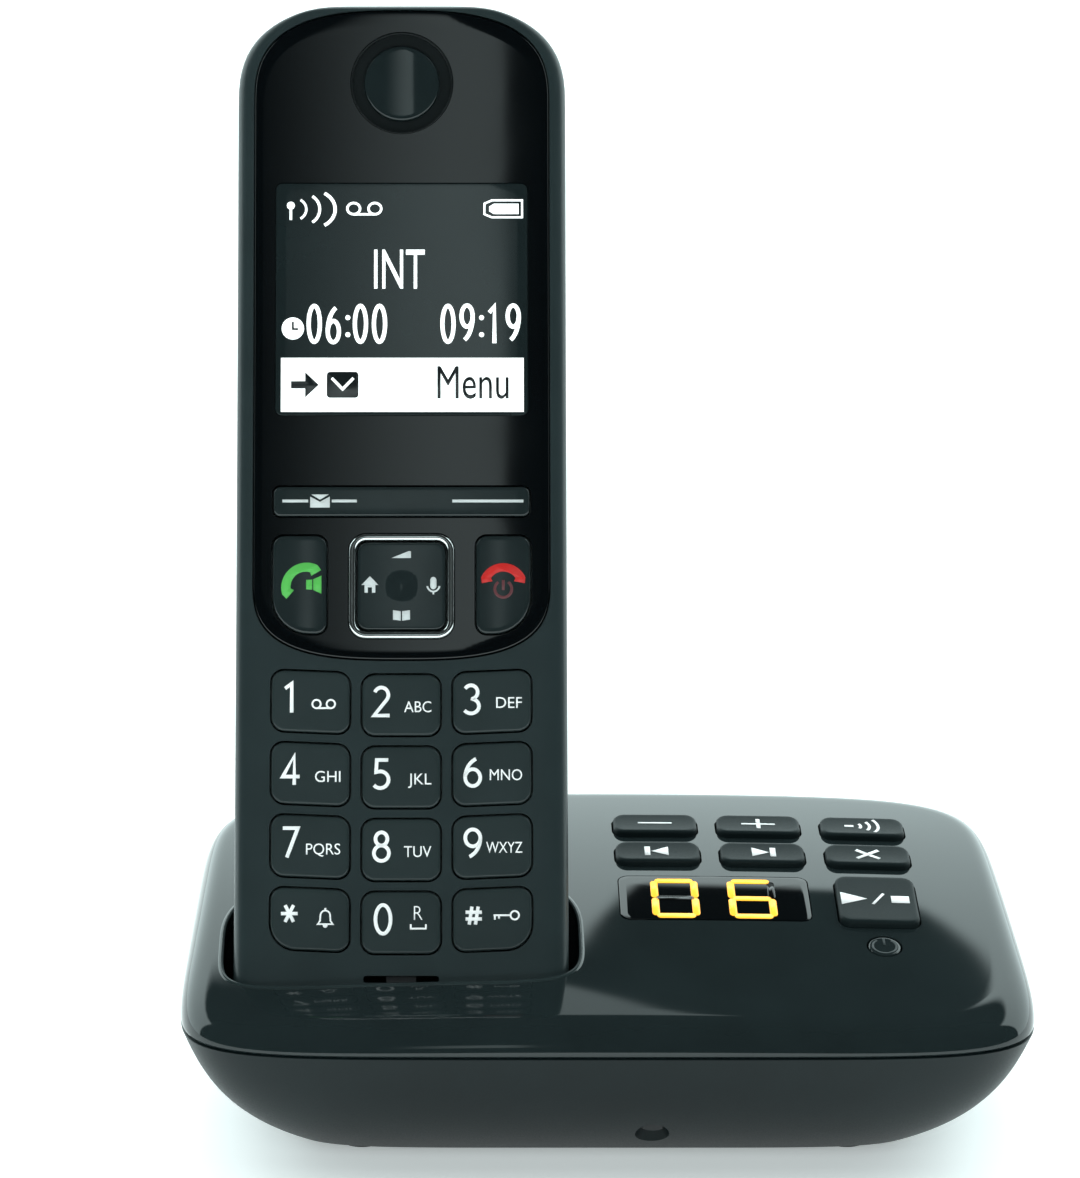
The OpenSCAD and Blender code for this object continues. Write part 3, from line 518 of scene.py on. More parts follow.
class Nodes:
    """Builds a material's nodes."""

    def __init__(self, material: bpy.types.Material) -> None:
        """Args:
            material: the material, whose nodes are used.
        """
        self.tree = material.node_tree
        self.shader = self.tree.nodes["Principled BSDF"]
        self.where = self.add("ShaderNodeTexCoord").outputs["Object"]

    def add(self, kind: str, **settings: object) -> bpy.types.Node:
        """Adds a node with its settings."""
        node = self.tree.nodes.new(kind)
        for key, value in settings.items():
            setattr(node, key, value)
        return node

    def link(self, source: bpy.types.NodeSocket, node: bpy.types.Node, socket: str | int) -> None:
        """Joins an output to an input."""
        self.tree.links.new(source, node.inputs[socket])

    def noise(self, size: float, detail: float = 2.0,
              stretch: Sequence[float] = (1, 1, 1)) -> bpy.types.NodeSocket:
        """A noise whose spots are about a size in millimetres, stretched along the axes."""
        mapping = self.add("ShaderNodeMapping")
        mapping.inputs["Scale"].default_value = [1 / s for s in stretch]
        self.link(self.where, mapping, "Vector")
        noise = self.add("ShaderNodeTexNoise")
        noise.inputs["Scale"].default_value = 1 / (size * MM)
        noise.inputs["Detail"].default_value = detail
        self.link(mapping.outputs[0], noise, "Vector")
        return noise.outputs["Fac"]

    def ramp(self, source: bpy.types.NodeSocket, low: Sequence[float], high: Sequence[float],
             start: float = 0.3, stop: float = 0.7) -> bpy.types.NodeSocket:
        """Turns a value into a colour between two."""
        ramp = self.add("ShaderNodeValToRGB")
        for element, at, colour in zip(ramp.color_ramp.elements, (start, stop), (low, high)):
            element.position, element.color = at, (*colour, 1.0)
        self.link(source, ramp, 0)
        return ramp.outputs["Color"]

    def spread(self, source: bpy.types.NodeSocket, low: float, high: float) -> bpy.types.NodeSocket:
        """Maps the middle of a noise onto a range."""
        node = self.add("ShaderNodeMapRange")
        for name, value in (("From Min", 0.3), ("From Max", 0.7), ("To Min", low), ("To Max", high)):
            node.inputs[name].default_value = value
        self.link(source, node, "Value")
        return node.outputs[0]

    def bump(self, source: bpy.types.NodeSocket, depth: float) -> None:
        """Raises the surface by a height in millimetres."""
        node = self.add("ShaderNodeBump")
        node.inputs["Strength"].default_value = 1.0
        node.inputs["Distance"].default_value = depth * MM
        self.link(source, node, "Height")
        self.link(node.outputs[0], self.shader, "Normal")


@dataclass(frozen=True)
class Finish:
    """A finish with its own texture, mottling and gloss."""

    name: str
    colour: tuple[float, float, float]
    rough: float
    texture: Texture = Texture.GRAIN
    size: float = 0.22
    depth: float = 0.006
    mottle: float = 0.08
    metal: float = 0.0
    specular: float = 0.5
    # glow is emission: real light on the lit display and amber digits, painted brightness on the printed
    # legends.
    glow: float = 0.0
    coat: float = 0.0

    def material(self) -> bpy.types.Material:
        """The finish's material, made once."""
        known = bpy.data.materials.get(self.name)
        if known:
            return known
        made = bpy.data.materials.new(self.name)
        made.use_nodes = True
        nodes = Nodes(made)
        shader = nodes.shader
        shader.inputs["Metallic"].default_value = self.metal
        shader.inputs["Specular IOR Level"].default_value = self.specular
        shader.inputs["Coat Weight"].default_value = self.coat
        shader.inputs["Coat Roughness"].default_value = 0.03
        dark = [c * (1 - self.mottle) for c in self.colour]
        light = [min(1.0, c * (1 + self.mottle)) for c in self.colour]
        if self.texture is Texture.TRACKS:
            tracks = nodes.add("ShaderNodeTexBrick", offset=0.37, squash=0.6, squash_frequency=3)
            tracks.inputs["Scale"].default_value = 1 / (9 * MM)
            tracks.inputs["Mortar Size"].default_value = 0.03
            tracks.inputs["Color1"].default_value = (*dark, 1)
            tracks.inputs["Color2"].default_value = (*dark, 1)
            tracks.inputs["Mortar"].default_value = (*[c * 1.9 for c in light], 1)
            nodes.link(nodes.where, tracks, "Vector")
            nodes.link(tracks.outputs["Color"], shader, "Base Color")
        else:
            nodes.link(nodes.ramp(nodes.noise(9.0, 3), dark, light), shader, "Base Color")
        stretch = (60, 1, 1) if self.texture is Texture.BRUSHED else (1, 1, 1)
        fine = nodes.noise(self.size, 3 if self.texture is Texture.GRAIN else 1, stretch)
        smudge = nodes.noise(14.0, 2) if self.texture is Texture.PEEL else fine
        nodes.link(nodes.spread(smudge, self.rough * 0.85, self.rough * 1.15), shader, "Roughness")
        nodes.bump(fine, self.depth)
        if self.glow:
            shader.inputs["Emission Color"].default_value = (*self.colour, 1)
            shader.inputs["Emission Strength"].default_value = self.glow
        return made

    def on(self, piece: Object) -> Object:
        """Gives a piece this finish all over."""
        if not piece.material_slots:
            piece.data.materials.append(self.material())
        for slot in piece.material_slots:
            slot.material = self.material()
        return piece


GLOSS_TOP = Finish("gloss casing", (0.011, 0.017, 0.018), 0.045, Texture.PEEL, 7.0, 0.0015)
SATIN = Finish("satin casing", (0.0055, 0.0105, 0.0115), 0.42, size=0.20, depth=0.010, specular=0.22)
BODY = Finish("handset casing", (0.0150, 0.0240, 0.0255), 0.38, size=0.20, depth=0.007, specular=0.4)
PIANO = Finish("piano black", (0.0008, 0.0016, 0.0022), 0.03, Texture.PEEL, 9.0, 0.0010)
SCREEN = Finish("display glass", (0.0095, 0.0150, 0.0160), 0.035, Texture.PEEL, 9.0, 0.0008)
KEY = Finish("satin key", (0.017, 0.026, 0.027), 0.33, size=0.16, depth=0.005, specular=0.45)
KEY_GLOSS = Finish("gloss key", (0.012, 0.018, 0.019), 0.12, Texture.PEEL, 3.0, 0.0015)
CONTROL = Finish("base key", (0.0085, 0.0145, 0.0155), 0.50, size=0.18, depth=0.009, specular=0.12)
CUP = Finish("cradle black", (0.004, 0.006, 0.0065), 0.45, size=0.25, depth=0.010, specular=0.3)
CHROME = Finish("chrome", (0.80, 0.83, 0.83), 0.06, Texture.PEEL, 3.0, 0.001, metal=1.0)
# The lip's colour is a lighter copy of the gloss casing's: a painted highlight along the cradle's mouth.
RIM = Finish("polished lip with painted highlight", (0.018, 0.027, 0.028), 0.12, Texture.PEEL, 3.0, 0.001, specular=0.6)
# The glow of the five print finishes below is painted brightness: the legends are printed ink, not lit from
# behind.
WHITE_INK = Finish("white print", (0.86, 0.88, 0.88), 0.5, size=0.1, depth=0.002, glow=0.10)
SILVER_INK = Finish("silver print", (0.55, 0.59, 0.59), 0.42, size=0.08, depth=0.003, glow=0.12)
GREEN_INK = Finish("green print", (0.075, 0.40, 0.070), 0.5, size=0.1, depth=0.002, glow=0.22)
RED_INK = Finish("red print", (0.45, 0.012, 0.010), 0.5, size=0.1, depth=0.002, glow=0.25)
DIM_RED_INK = Finish("dim red print", (0.105, 0.028, 0.033), 0.5, size=0.1, depth=0.002, glow=0.08)
# The finish below is painted light and shade: the answer key's icon is engraved, and its strokes stand for
# the light and shade in the grooves.
ENGRAVING_SHADING = Finish("painted engraving shading", (0.022, 0.032, 0.034), 0.5, size=0.1, depth=0.002)
LIT_PIXELS = Finish("lit display", (0.92, 0.97, 0.97), 0.4, size=0.1, depth=0.001, glow=0.85)
DARK_PIXELS = Finish("unlit display", (0.006, 0.009, 0.010), 0.4, size=0.1, depth=0.001)
AMBER = Finish("lit amber", (1.0, 0.47, 0.035), 0.35, size=0.3, depth=0.002, glow=1.0)
AMBER_OFF = Finish("unlit amber", (0.0030, 0.0028, 0.0028), 0.2, size=0.3, depth=0.002, specular=0.5)
RUBBER = Finish("foot rubber", (0.012, 0.013, 0.013), 0.75, size=0.35, depth=0.03, specular=0.3)
SILICONE = Finish("key mat silicone", (0.15, 0.18, 0.18), 0.6, size=0.4, depth=0.01)
NICKEL = Finish("contact metal", (0.72, 0.66, 0.50), 0.24, Texture.BRUSHED, 0.06, 0.003, metal=1.0)
FRAME_METAL = Finish("speaker metal", (0.09, 0.095, 0.10), 0.42, size=0.3, depth=0.008, metal=0.6)
BOARD = Finish("circuit board", (0.02, 0.11, 0.045), 0.35, Texture.TRACKS, 0.5, 0.01)
SLEEVE = Finish("cell sleeve", (0.05, 0.17, 0.07), 0.28, Texture.PEEL, 2.0, 0.004, mottle=0.15)
SOCKET = Finish("socket black", (0.010, 0.012, 0.013), 0.36, size=0.2, depth=0.006)
LCD = Finish("display module", (0.22, 0.26, 0.26), 0.3, Texture.PEEL, 4.0, 0.002)


def settled(piece: Object, body: str, slot: str, *replaced: str) -> Object:
    """Makes a piece ride on a body and hides the nodes that it stands for."""
    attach(piece, body)
    if replaced:
        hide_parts(*replaced)
    log.info("%s: %d faces, on %s", piece.name, len(piece.data.polygons), body)
    return piece


# ---- Base ----


@dataclass(frozen=True)
class BaseForm:
    """The base's driving sizes and surfaces, in millimetres, with its middle at the origin."""

    half_w: float = 62.5
    half_d: float = 36.0
    seam: float = 22.0
    rim: float = 4.4
    slope_front: float = math.tan(math.radians(18.0))
    slope_back: float = math.tan(math.radians(3.8))
    crown_r: float = 1400.0
    edge_r: float = 5.0
    edge_power: float = 2.6
    taper: float = math.tan(math.radians(1.4))
    widest: float = -16.0
    wall: float = 1.8
    floor_inset: float = 15.8
    foot: float = 1.5
    seam_gap: float = 0.15
    around: int = 260

    def top(self, x: Array, y: Array) -> Array:
        """Height of the top surface: a slope that eases off to the back, less the crown from side to side."""
        s = y + self.half_d - 3
        bend = (self.slope_front - self.slope_back) / (4 * self.half_d - 16)
        return self.seam + self.rim + self.slope_front * s - bend * s * s - x * x / (2 * self.crown_r)

    def plan(self, inset: float) -> Array:
        """The base seen from above, drawn in: an oval of power 6.5 that narrows to the back."""
        turn = np.linspace(0, 2 * np.pi, 3001)[:-1]
        y = (self.half_d - inset) * signed_pow(np.sin(turn), 2 / 6.5)
        x = (self.half_w - inset) * signed_pow(np.cos(turn), 2 / 6.5)
        x *= 1 - self.taper * (y - self.widest) / self.half_w
        return evened(np.stack([x, y], 1), self.around)

    def top_ring(self, inset: float, rise: float, off: float) -> Array:
        """One ring of the top, part of the way up from the seam and drawn in by a wall."""
        ring = self.plan(inset + off)
        z = self.seam + (self.top(ring[:, 0], ring[:, 1]) - self.seam) * rise - off
        return np.column_stack([ring, np.maximum(z, self.seam + self.seam_gap / 2)])

    def upper_rows(self) -> Array:
        """The upper shell as rings: inside from the middle down to the seam, then outside back up.

        The edge is an oval of power 2.6, five millimetres wide, from the seam up to the top surface.
        """
        turn = np.radians(np.linspace(0, 90, 26))
        share, rise = np.cos(turn) ** (2 / self.edge_power), np.sin(turn) ** (2 / self.edge_power)
        inset = np.concatenate([self.edge_r * (1 - share), np.linspace(self.edge_r, self.half_d, 28)[1:]])
        rise = np.concatenate([rise, np.ones(27)])
        inner = [self.top_ring(min(i, self.half_d - self.wall), r, self.wall) for i, r in zip(inset, rise)]
        outer = [self.top_ring(i, r, 0.0) for i, r in zip(inset, rise)]
        outer[0][:, :2] = self.plan(0.22)
        return np.stack(inner[::-1] + outer)

    def under_ring(self, t: float, off: float) -> Array:
        """One ring of the underside, a share of the way from the seam down to the floor."""
        low = self.foot + off
        ring = self.plan(self.floor_inset * (0.46 * t + 0.54 * t ** 2.8) + off)
        return raised(ring, self.seam - self.seam_gap / 2 - t * (self.seam - self.seam_gap / 2 - low))

    def lower_rows(self) -> Array:
        """The lower shell as rings: inside up from the middle to the seam, then outside down again."""
        steps = np.concatenate([[0.0, 0.006], np.linspace(0.03, 0.97, 32), [0.99, 1.0]])
        outer = [self.under_ring(t, 0.0) for t in steps]
        outer[0][:, :2] = self.plan(0.22)
        inner = [self.under_ring(t, self.wall) for t in steps]
        for inset in np.linspace(self.floor_inset, self.half_d, 8)[1:]:
            outer.append(raised(self.plan(inset), self.foot))
            inner.append(raised(self.plan(min(inset + self.wall, self.half_d)), self.foot + self.wall))
        return np.stack(inner[::-1] + outer)


@dataclass(frozen=True)
class Control:
    """One key of the base: its name, its middle, its size and the icon on it."""

    name: str
    at: tuple[float, float]
    size: tuple[float, float] = (12.8, 6.1)
    corner: float = 1.8
    proud: float = 1.1


def base_icon(name: str, ink: Ink) -> Finish:
    """Draws a base key's icon.

    Args:
        name: the key's name.
        ink: what it is drawn with.

    Returns:
        The finish of the print, or the painted shading that stands for the answer key's engraved icon.
    """
    if name in ("minus", "plus"):
        ink.line(run((-2.6, 0), (2.6, 0)), 0.42)
        if name == "plus":
            ink.line(run((0, -1.6), (0, -0.21)), 0.62).line(run((0, 0.21), (0, 1.6)), 0.62)
    elif name == "page":
        ink.patch([(-2.7, -0.3), (-1.3, -0.3), (-1.3, 0.3), (-2.7, 0.3)])
        for k, r in enumerate((1.2, 2.3, 3.4)):
            ink.line(arc(-1.4 + 0.25 * k, 0, r, r, -38, 38, 9), 0.46)
    elif name in ("previous", "next"):
        s = -1 if name == "previous" else 1
        ink.patch([(s * -1.6, -1.35), (s * 1.0, 0), (s * -1.6, 1.35)])
        ink.patch([(s * 1.15, -1.35), (s * 2.0, -1.35), (s * 2.0, 1.35), (s * 1.15, 1.35)])
    elif name == "delete":
        ink.line(run((-1.7, -1.3), (1.7, 1.3)), 0.62).line(run((-1.7, 1.3), (-0.26, 0.2)), 0.62)
        ink.line(run((0.26, -0.2), (1.7, -1.3)), 0.62)
    elif name == "play_stop":
        ink.patch([(-5.4, -1.7), (-1.5, 0), (-5.4, 1.7)]).line(run((-0.75, -1.5), (1.05, 1.5)), 0.42)
        ink.patch([(2.1, -1.0), (4.8, -1.0), (4.8, 0.9), (2.1, 0.9)])
    else:
        # The answer key's icon is engraved, not printed: these strokes are painted light and shade of its
        # grooves.
        ink.line(arc(0, 0, 1.75, 1.75, 125, 415, 25), 0.34).line(run((0, 0.2), (0, 2.0)), 0.34)
        return ENGRAVING_SHADING
    return WHITE_INK


@dataclass
class Base:
    """The answering base: its shells, cradle mouth, keys, display, feet and sockets."""

    form: BaseForm = field(default_factory=BaseForm)
    lean: float = 23.0
    mouth_w: float = 52.8
    mouth_y: tuple[float, float, float] = (-3.40, 7.0, 21.8)
    mouth_powers: tuple[float, float] = (6.0, 2.5)
    tilt: float = 11.5
    key_gap: float = 0.25
    window_at: tuple[float, float] = (16.6, -2.7)
    window: tuple[float, float] = (28.4, 12.4)
    digit: tuple[float, float] = (7.2, 11.0)
    digit_x: tuple[float, float] = (10.7, 22.2)
    sockets: tuple[float, float] = (-14.0, 8.0)
    speaker: tuple[float, float, float] = (22.0, -2.0, 14.0)
    controls: tuple[Control, ...] = (
        Control("minus", (8.7, 18.9)), Control("plus", (24.6, 18.9)), Control("page", (40.6, 18.9)),
        Control("previous", (8.7, 9.5)), Control("next", (24.6, 9.5)), Control("delete", (40.6, 9.5)),
        Control("play_stop", (40.8, -3.6), (11.9, 12.9)),
        Control("answer", (40.9, -14.7), (4.8, 4.8), 2.39, 0.04))

    def __post_init__(self) -> None:
        """Finds the base's middle in the frame."""
        low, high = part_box("base_lower_shell")
        self.y = (low.y + high.y) / 2 / MM
        self.place = Place((0.0, self.y, 0.0))

    def on_top(self, at: Sequence[float]) -> Place:
        """The place of a piece on the top surface, with its third axis along a key's travel."""
        z = float(self.form.top(np.float64(at[0]), np.float64(at[1])))
        return tilted((at[0], at[1] + self.y, z), self.tilt)

    def surface(self, at: Sequence[float], proud: float = 0.0) -> Height:
        """Height of the top surface over a place on it, in that place's own frame."""
        s, c = math.sin(math.radians(self.tilt)), math.cos(math.radians(self.tilt))
        here = float(self.form.top(np.float64(at[0]), np.float64(at[1])))

        def height(a: Array, b: Array) -> Array:
            """The surface's rise above the place's plane, plus how far the piece stands proud."""
            return (self.form.top(at[0] + a, at[1] + b * c) - here - b * s) * c + proud

        return height

    def cradle_place(self, handset: Place) -> Place:
        """The handset's frame with its third axis along the handset."""
        a, along, out = handset.axes
        return Place(handset.origin, (a, tuple(-v for v in out), along))

    def mouth_outline(self, inset: float) -> Array:
        """The cradle's mouth seen along the handset, drawn in.

        Two half ovals meet where it is widest: a full one of power 6 in front, a rounder one behind.
        """
        turn = np.linspace(0, 2 * np.pi, 1201)[:-1]
        front, widest, back = self.mouth_y
        power = np.where(np.sin(turn) < 0, *self.mouth_powers)
        depth = np.where(np.sin(turn) < 0, widest - front, back - widest) - inset
        u = (self.mouth_w / 2 - inset) * signed_pow(np.cos(turn), 2 / power)
        return evened(np.stack([u, widest + depth * signed_pow(np.sin(turn), 2 / power)], 1), 260)

    def shells(self, handset: Place) -> None:
        """Makes the two shells and cuts their openings."""
        upper = Shape().lattice(self.form.upper_rows()).made("upper_casing", self.place)
        cuts = [(prism(self.mouth_outline, 0.0, 60.0), self.cradle_place(handset))]
        for key in self.controls:
            hole = rounded(key.size[0], key.size[1], key.corner)
            cuts.append((prism(hole, -6.0, 6.0, -self.key_gap), self.on_top(key.at)))
        cuts.append((prism(rounded(*self.window, 1.6), -6.0, 6.0, -0.12), self.on_top(self.window_at)))
        settled(GLOSS_TOP.on(carved(upper, cuts)), "base", "gloss_casing", "base_upper_shell")

        lower = Shape().lattice(self.form.lower_rows()).made("lower_casing", self.place)
        back = self.place
        cuts = []
        for x in self.sockets:
            frame_hole = rounded(13.0, 10.2, 0.5, at=(x, 9.4))
            turned = Place(back.origin, ((1, 0, 0), (0, 0, 1), (0, -1, 0)))
            cuts.append((prism(frame_hole, -42.0, -20.0), turned))
        x, y, r = self.speaker
        for k in range(-3, 4):
            slot = rounded(1.2, 2 * math.sqrt((r - 2) ** 2 - (3 * k) ** 2), 0.55, at=(x + 3 * k, y))
            cuts.append((prism(slot, 0.0, 6.0), back))
        for at in ((50, -16.5), (47.5, 18), (-49.5, 18), (6.5, -26.5)):
            cuts.append((prism(disc(2.5, at, 40), 0.0, 9.5), back))
        for at in ((-36, -13), (36, -13), (-36, 13), (36, 13)):
            cuts.append((prism(disc(4.1, at, 48), 0.0, 2.1), back))
        settled(SATIN.on(carved(lower, cuts)), "base", "satin_casing", "base_lower_shell")

    def cradle_lip(self, handset: Place) -> None:
        """Carries a rounded lip round the cradle's mouth.

        Each point of the mouth's outline is slid along the handset until it meets the top surface, by
        Newton's steps. The lip's oval section then stands across the outline and along the surface normal.
        """
        cradle = self.cradle_place(handset)
        outline = self.mouth_outline(0.0)
        axes = np.array(cradle.axes, float)
        along = np.full(len(outline), 25.0)
        for _ in range(12):
            p = cradle.row(np.column_stack([outline, along])) / MM
            miss = p[:, 2] - self.form.top(p[:, 0], p[:, 1] - self.y)
            along -= miss / (axes[2, 2] - 0.25 * axes[2, 1])
        path = cradle.row(np.column_stack([outline, along])) / MM
        step = 0.01
        slope = [(self.form.top(path[:, 0] + dx, path[:, 1] - self.y + dy)
                  - self.form.top(path[:, 0] - dx, path[:, 1] - self.y - dy)) / (2 * step)
                 for dx, dy in ((step, 0), (0, step))]
        normal = np.column_stack([-slope[0], -slope[1], np.ones(len(path))])
        normal /= np.linalg.norm(normal, axis=1, keepdims=True)
        ahead = np.roll(path, -1, 0) - np.roll(path, 1, 0)
        outward = np.cross(ahead, normal)
        outward /= np.linalg.norm(outward, axis=1, keepdims=True)
        turn = np.linspace(0, 2 * np.pi, 15)[:-1]
        section = [(0.42 * math.cos(t) + 0.08, 0.26 * math.sin(t) - 0.04) for t in turn]
        rows = np.stack([path + outward * a + normal * b for a, b in section])
        # The lip is finished lighter than the gloss casing it belongs to, a painted highlight along the
        # mouth's edge.
        settled(RIM.on(Shape().lattice(rows, along=True).made("cradle_lip", Place((0, 0, 0)))),
                "base", "gloss_casing")

    def keys(self) -> None:
        """Makes the base's keys with their icons."""
        for key in self.controls:
            place, body = self.on_top(key.at), f"base_key_{key.name}"
            answer = key.name == "answer"
            surface = self.surface(key.at, key.proud)
            dish = 0.0 if answer else 0.22

            def top(a: Array, b: Array, surface: Height = surface, dish: float = dish,
                    depth: float = key.size[1] / 2) -> Array:
                """The key's top: the base's surface raised, with a shallow dish along the key."""
                return surface(a, b) - dish * (1 - np.minimum(1, (b / depth) ** 2))

            edge = 0.25 if answer else 0.55
            shape = cap(rounded(*key.size, key.corner), top, -2.8, edge, 12, (2.0, -3.3))
            finish = GLOSS_TOP if answer else CONTROL
            settled(finish.on(shape.made(f"{key.name}_key", place)), body, "key_rubber", body)
            ink = Ink(top)
            finish = base_icon(key.name, ink)
            settled(ink.printed(f"{key.name}_icon", place, finish), body, "key_rubber")

    def display(self) -> None:
        """Makes the window and the two lit digits, which read 0 and 6, with the unlit bar of each."""
        place = self.on_top(self.window_at)
        surface = self.surface(self.window_at, 0.08)
        shape = cap(rounded(*self.window, 1.6), surface, -1.3, 0.2, 16)
        settled(PIANO.on(shape.made("digit_window", place)), "base", "panel_gloss", "base_window")
        w, h = self.digit[0] / 2 - 0.6, self.digit[1] / 2 - 0.6
        r, gap, drop = 0.62, 0.30, 0.3
        lit, unlit = Ink(surface), Ink(surface)
        for x, off in zip(self.digit_x, ({6}, {1})):
            ends = [((-w, h), (w, h)), ((w, h), (w, 0)), ((w, 0), (w, -h)), ((-w, -h), (w, -h)),
                    ((-w, 0), (-w, -h)), ((-w, h), (-w, 0)), ((-w, 0), (w, 0))]
            for k, (start, stop) in enumerate(ends):
                p, q = np.array(start, float), np.array(stop, float)
                unit = (q - p) / np.linalg.norm(q - p)
                p, q = p + unit * (r * 0.6 + gap), q - unit * (r * 0.6 + gap)
                turn = math.degrees(math.atan2(unit[1], unit[0]))
                bar = run(arc(q[0], q[1], r * 0.9, r, turn - 90, turn + 90, 7),
                          arc(p[0], p[1], r * 0.9, r, turn + 90, turn + 270, 7))
                bar += (x - self.window_at[0], -drop)
                (unlit if k in off else lit).patch(bar)
        settled(lit.printed("lit_digit_bars", place, AMBER), "base", "segment_amber", "display_segments")
        settled(unlit.printed("unlit_digit_bars", place, AMBER_OFF), "base", "segment_amber")

    def build(self, handset: Place) -> None:
        """Makes everything of the base that shows.

        Args:
            handset: the handset's place, which the cradle's mouth follows.
        """
        self.shells(handset)
        self.cradle_lip(handset)
        self.keys()
        self.display()


# ---- Handset ----


@dataclass(frozen=True)
class HandsetForm:
    """The handset's driving sizes and surfaces, in millimetres.

    Its frame has u to the right, w up along the handset and h out of the face, from the face's middle plane.
    """

    length: float = 156.0
    width: float = 49.0
    front: float = 8.0
    back: float = 15.5
    bulge: float = 8.0
    bulge_at: float = 60.0
    bulge_l: float = 38.0
    face_r: float = 1200.0
    wall: float = 1.8
    end_low: float = 9.0
    end_high: float = 15.5
    end_round: float = 5.5
    top_round: float = 2.2
    end_power: float = 2.8
    face_power: float = 12.0
    back_power: float = 3.4
    half_gap: float = 0.075

    def face(self, w: Array) -> Array:
        """Height of the hollow face: a wide arc along the handset."""
        return (w - self.length / 2) ** 2 / (2 * self.face_r)

    def back_at(self, w: Array) -> Array:
        """Depth of the back: flat, plus a bell-shaped bulge over the cells."""
        return self.back + self.bulge * np.exp(-((w - self.bulge_at) / self.bulge_l) ** 2)

    def share(self, w: Array, low: float, high: float) -> Array:
        """Share of the full size where an end rounds off as an oval of power 2.8."""
        above = np.where(w > self.length - high, (w - self.length + high) / high, 0)
        u = np.where(w < low, (low - w) / low, above)
        return np.maximum(0, 1 - np.minimum(1, u) ** self.end_power) ** (1 / self.end_power)

    def levels(self) -> Array:
        """Heights of the rings, close together at the rounded ends."""
        turn = np.radians(np.linspace(0, 90, 22))
        low = self.end_low * (1 - np.cos(turn) ** (2 / self.end_power))
        high = self.length - self.end_high * (1 - np.cos(turn) ** (2 / self.end_power))
        middle = np.linspace(self.end_low, self.length - self.end_high, 62)[1:-1]
        return np.concatenate([low, middle, high[::-1]])

    def half_ring(self, w: float, front: bool, off: float, count: int = 84) -> Array:
        """Half a cross-section at one height.

        Args:
            w: height along the handset.
            front: the half at the face, an oval of power 12, or else the half at the back, of power 3.4.
            off: how far it is drawn in by a wall.
            count: how many points.

        Returns:
            Points from the right edge round to the left one.
        """
        at = np.float64(w)
        hx = max(float(self.width / 2 * self.share(at, self.end_low, self.end_high)) - off, 0.0)
        share = float(self.share(at, self.end_round, self.top_round if front else self.end_round))
        reach = (self.front + self.face(at)) if front else (self.back_at(at) - self.front)
        depth = max(float(reach) * share - off, 0.0)
        turn = np.linspace(0, np.pi, 1201)
        power = self.face_power if front else self.back_power
        u = hx * signed_pow(np.cos(turn), 2 / power)
        h = depth * np.abs(np.sin(turn)) ** (2 / power)
        side = 1 if front else -1
        line = np.stack([u, -self.front + side * (h + self.half_gap)], 1)
        curve = evened(line, count, closed=False)
        return np.column_stack([curve[:, 0], np.full(count, w), curve[:, 1]])

    def half_shell(self, front: bool) -> Shape:
        """The front or rear casing: an outer skin, an inner skin a wall in, and the rim between them."""
        outer = np.stack([self.half_ring(w, front, 0.0) for w in self.levels()])
        inset = self.wall + self.levels() * (self.length - 2 * self.wall) / self.length
        inner = np.stack([self.half_ring(w, front, self.wall) for w in inset])
        shape = Shape().lattice(outer, around=False).lattice(inner, around=False)
        n = outer.shape[1]
        for edge in (0, n - 1):
            rim = np.stack([outer[:, edge], inner[:, edge]])
            shape.lattice(rim, around=False)
        return shape

    def back_h(self, u: Array, w: Array, off: float = 0.0) -> Array:
        """Height of the back surface at a point, which is below zero."""
        share = np.clip(1 - np.abs(2 * u / self.width) ** self.back_power, 0, 1) ** (1 / self.back_power)
        return -self.front - self.half_gap - (self.back_at(w) - self.front) * share + off


@dataclass(frozen=True)
class KeyText:
    """A digit key: its node, its column and row from the lower left, its digit and its small legend."""

    node: str
    column: int
    row: int
    digit: str
    letters: str = ""


DIGIT_KEYS = (
    KeyText("key_1", 0, 3, "1"), KeyText("key_2", 1, 3, "2", "ABC"), KeyText("key_3", 2, 3, "3", "DEF"),
    KeyText("key_4", 0, 2, "4", "GHI"), KeyText("key_5", 1, 2, "5", "JKL"),
    KeyText("key_6", 2, 2, "6", "MNO"),
    KeyText("key_7", 0, 1, "7", "PQRS"), KeyText("key_8", 1, 1, "8", "TUV"),
    KeyText("key_9", 2, 1, "9", "WXYZ"),
    KeyText("key_star", 0, 0, "*"), KeyText("key_0", 1, 0, "0"), KeyText("key_hash", 2, 0, "#"))


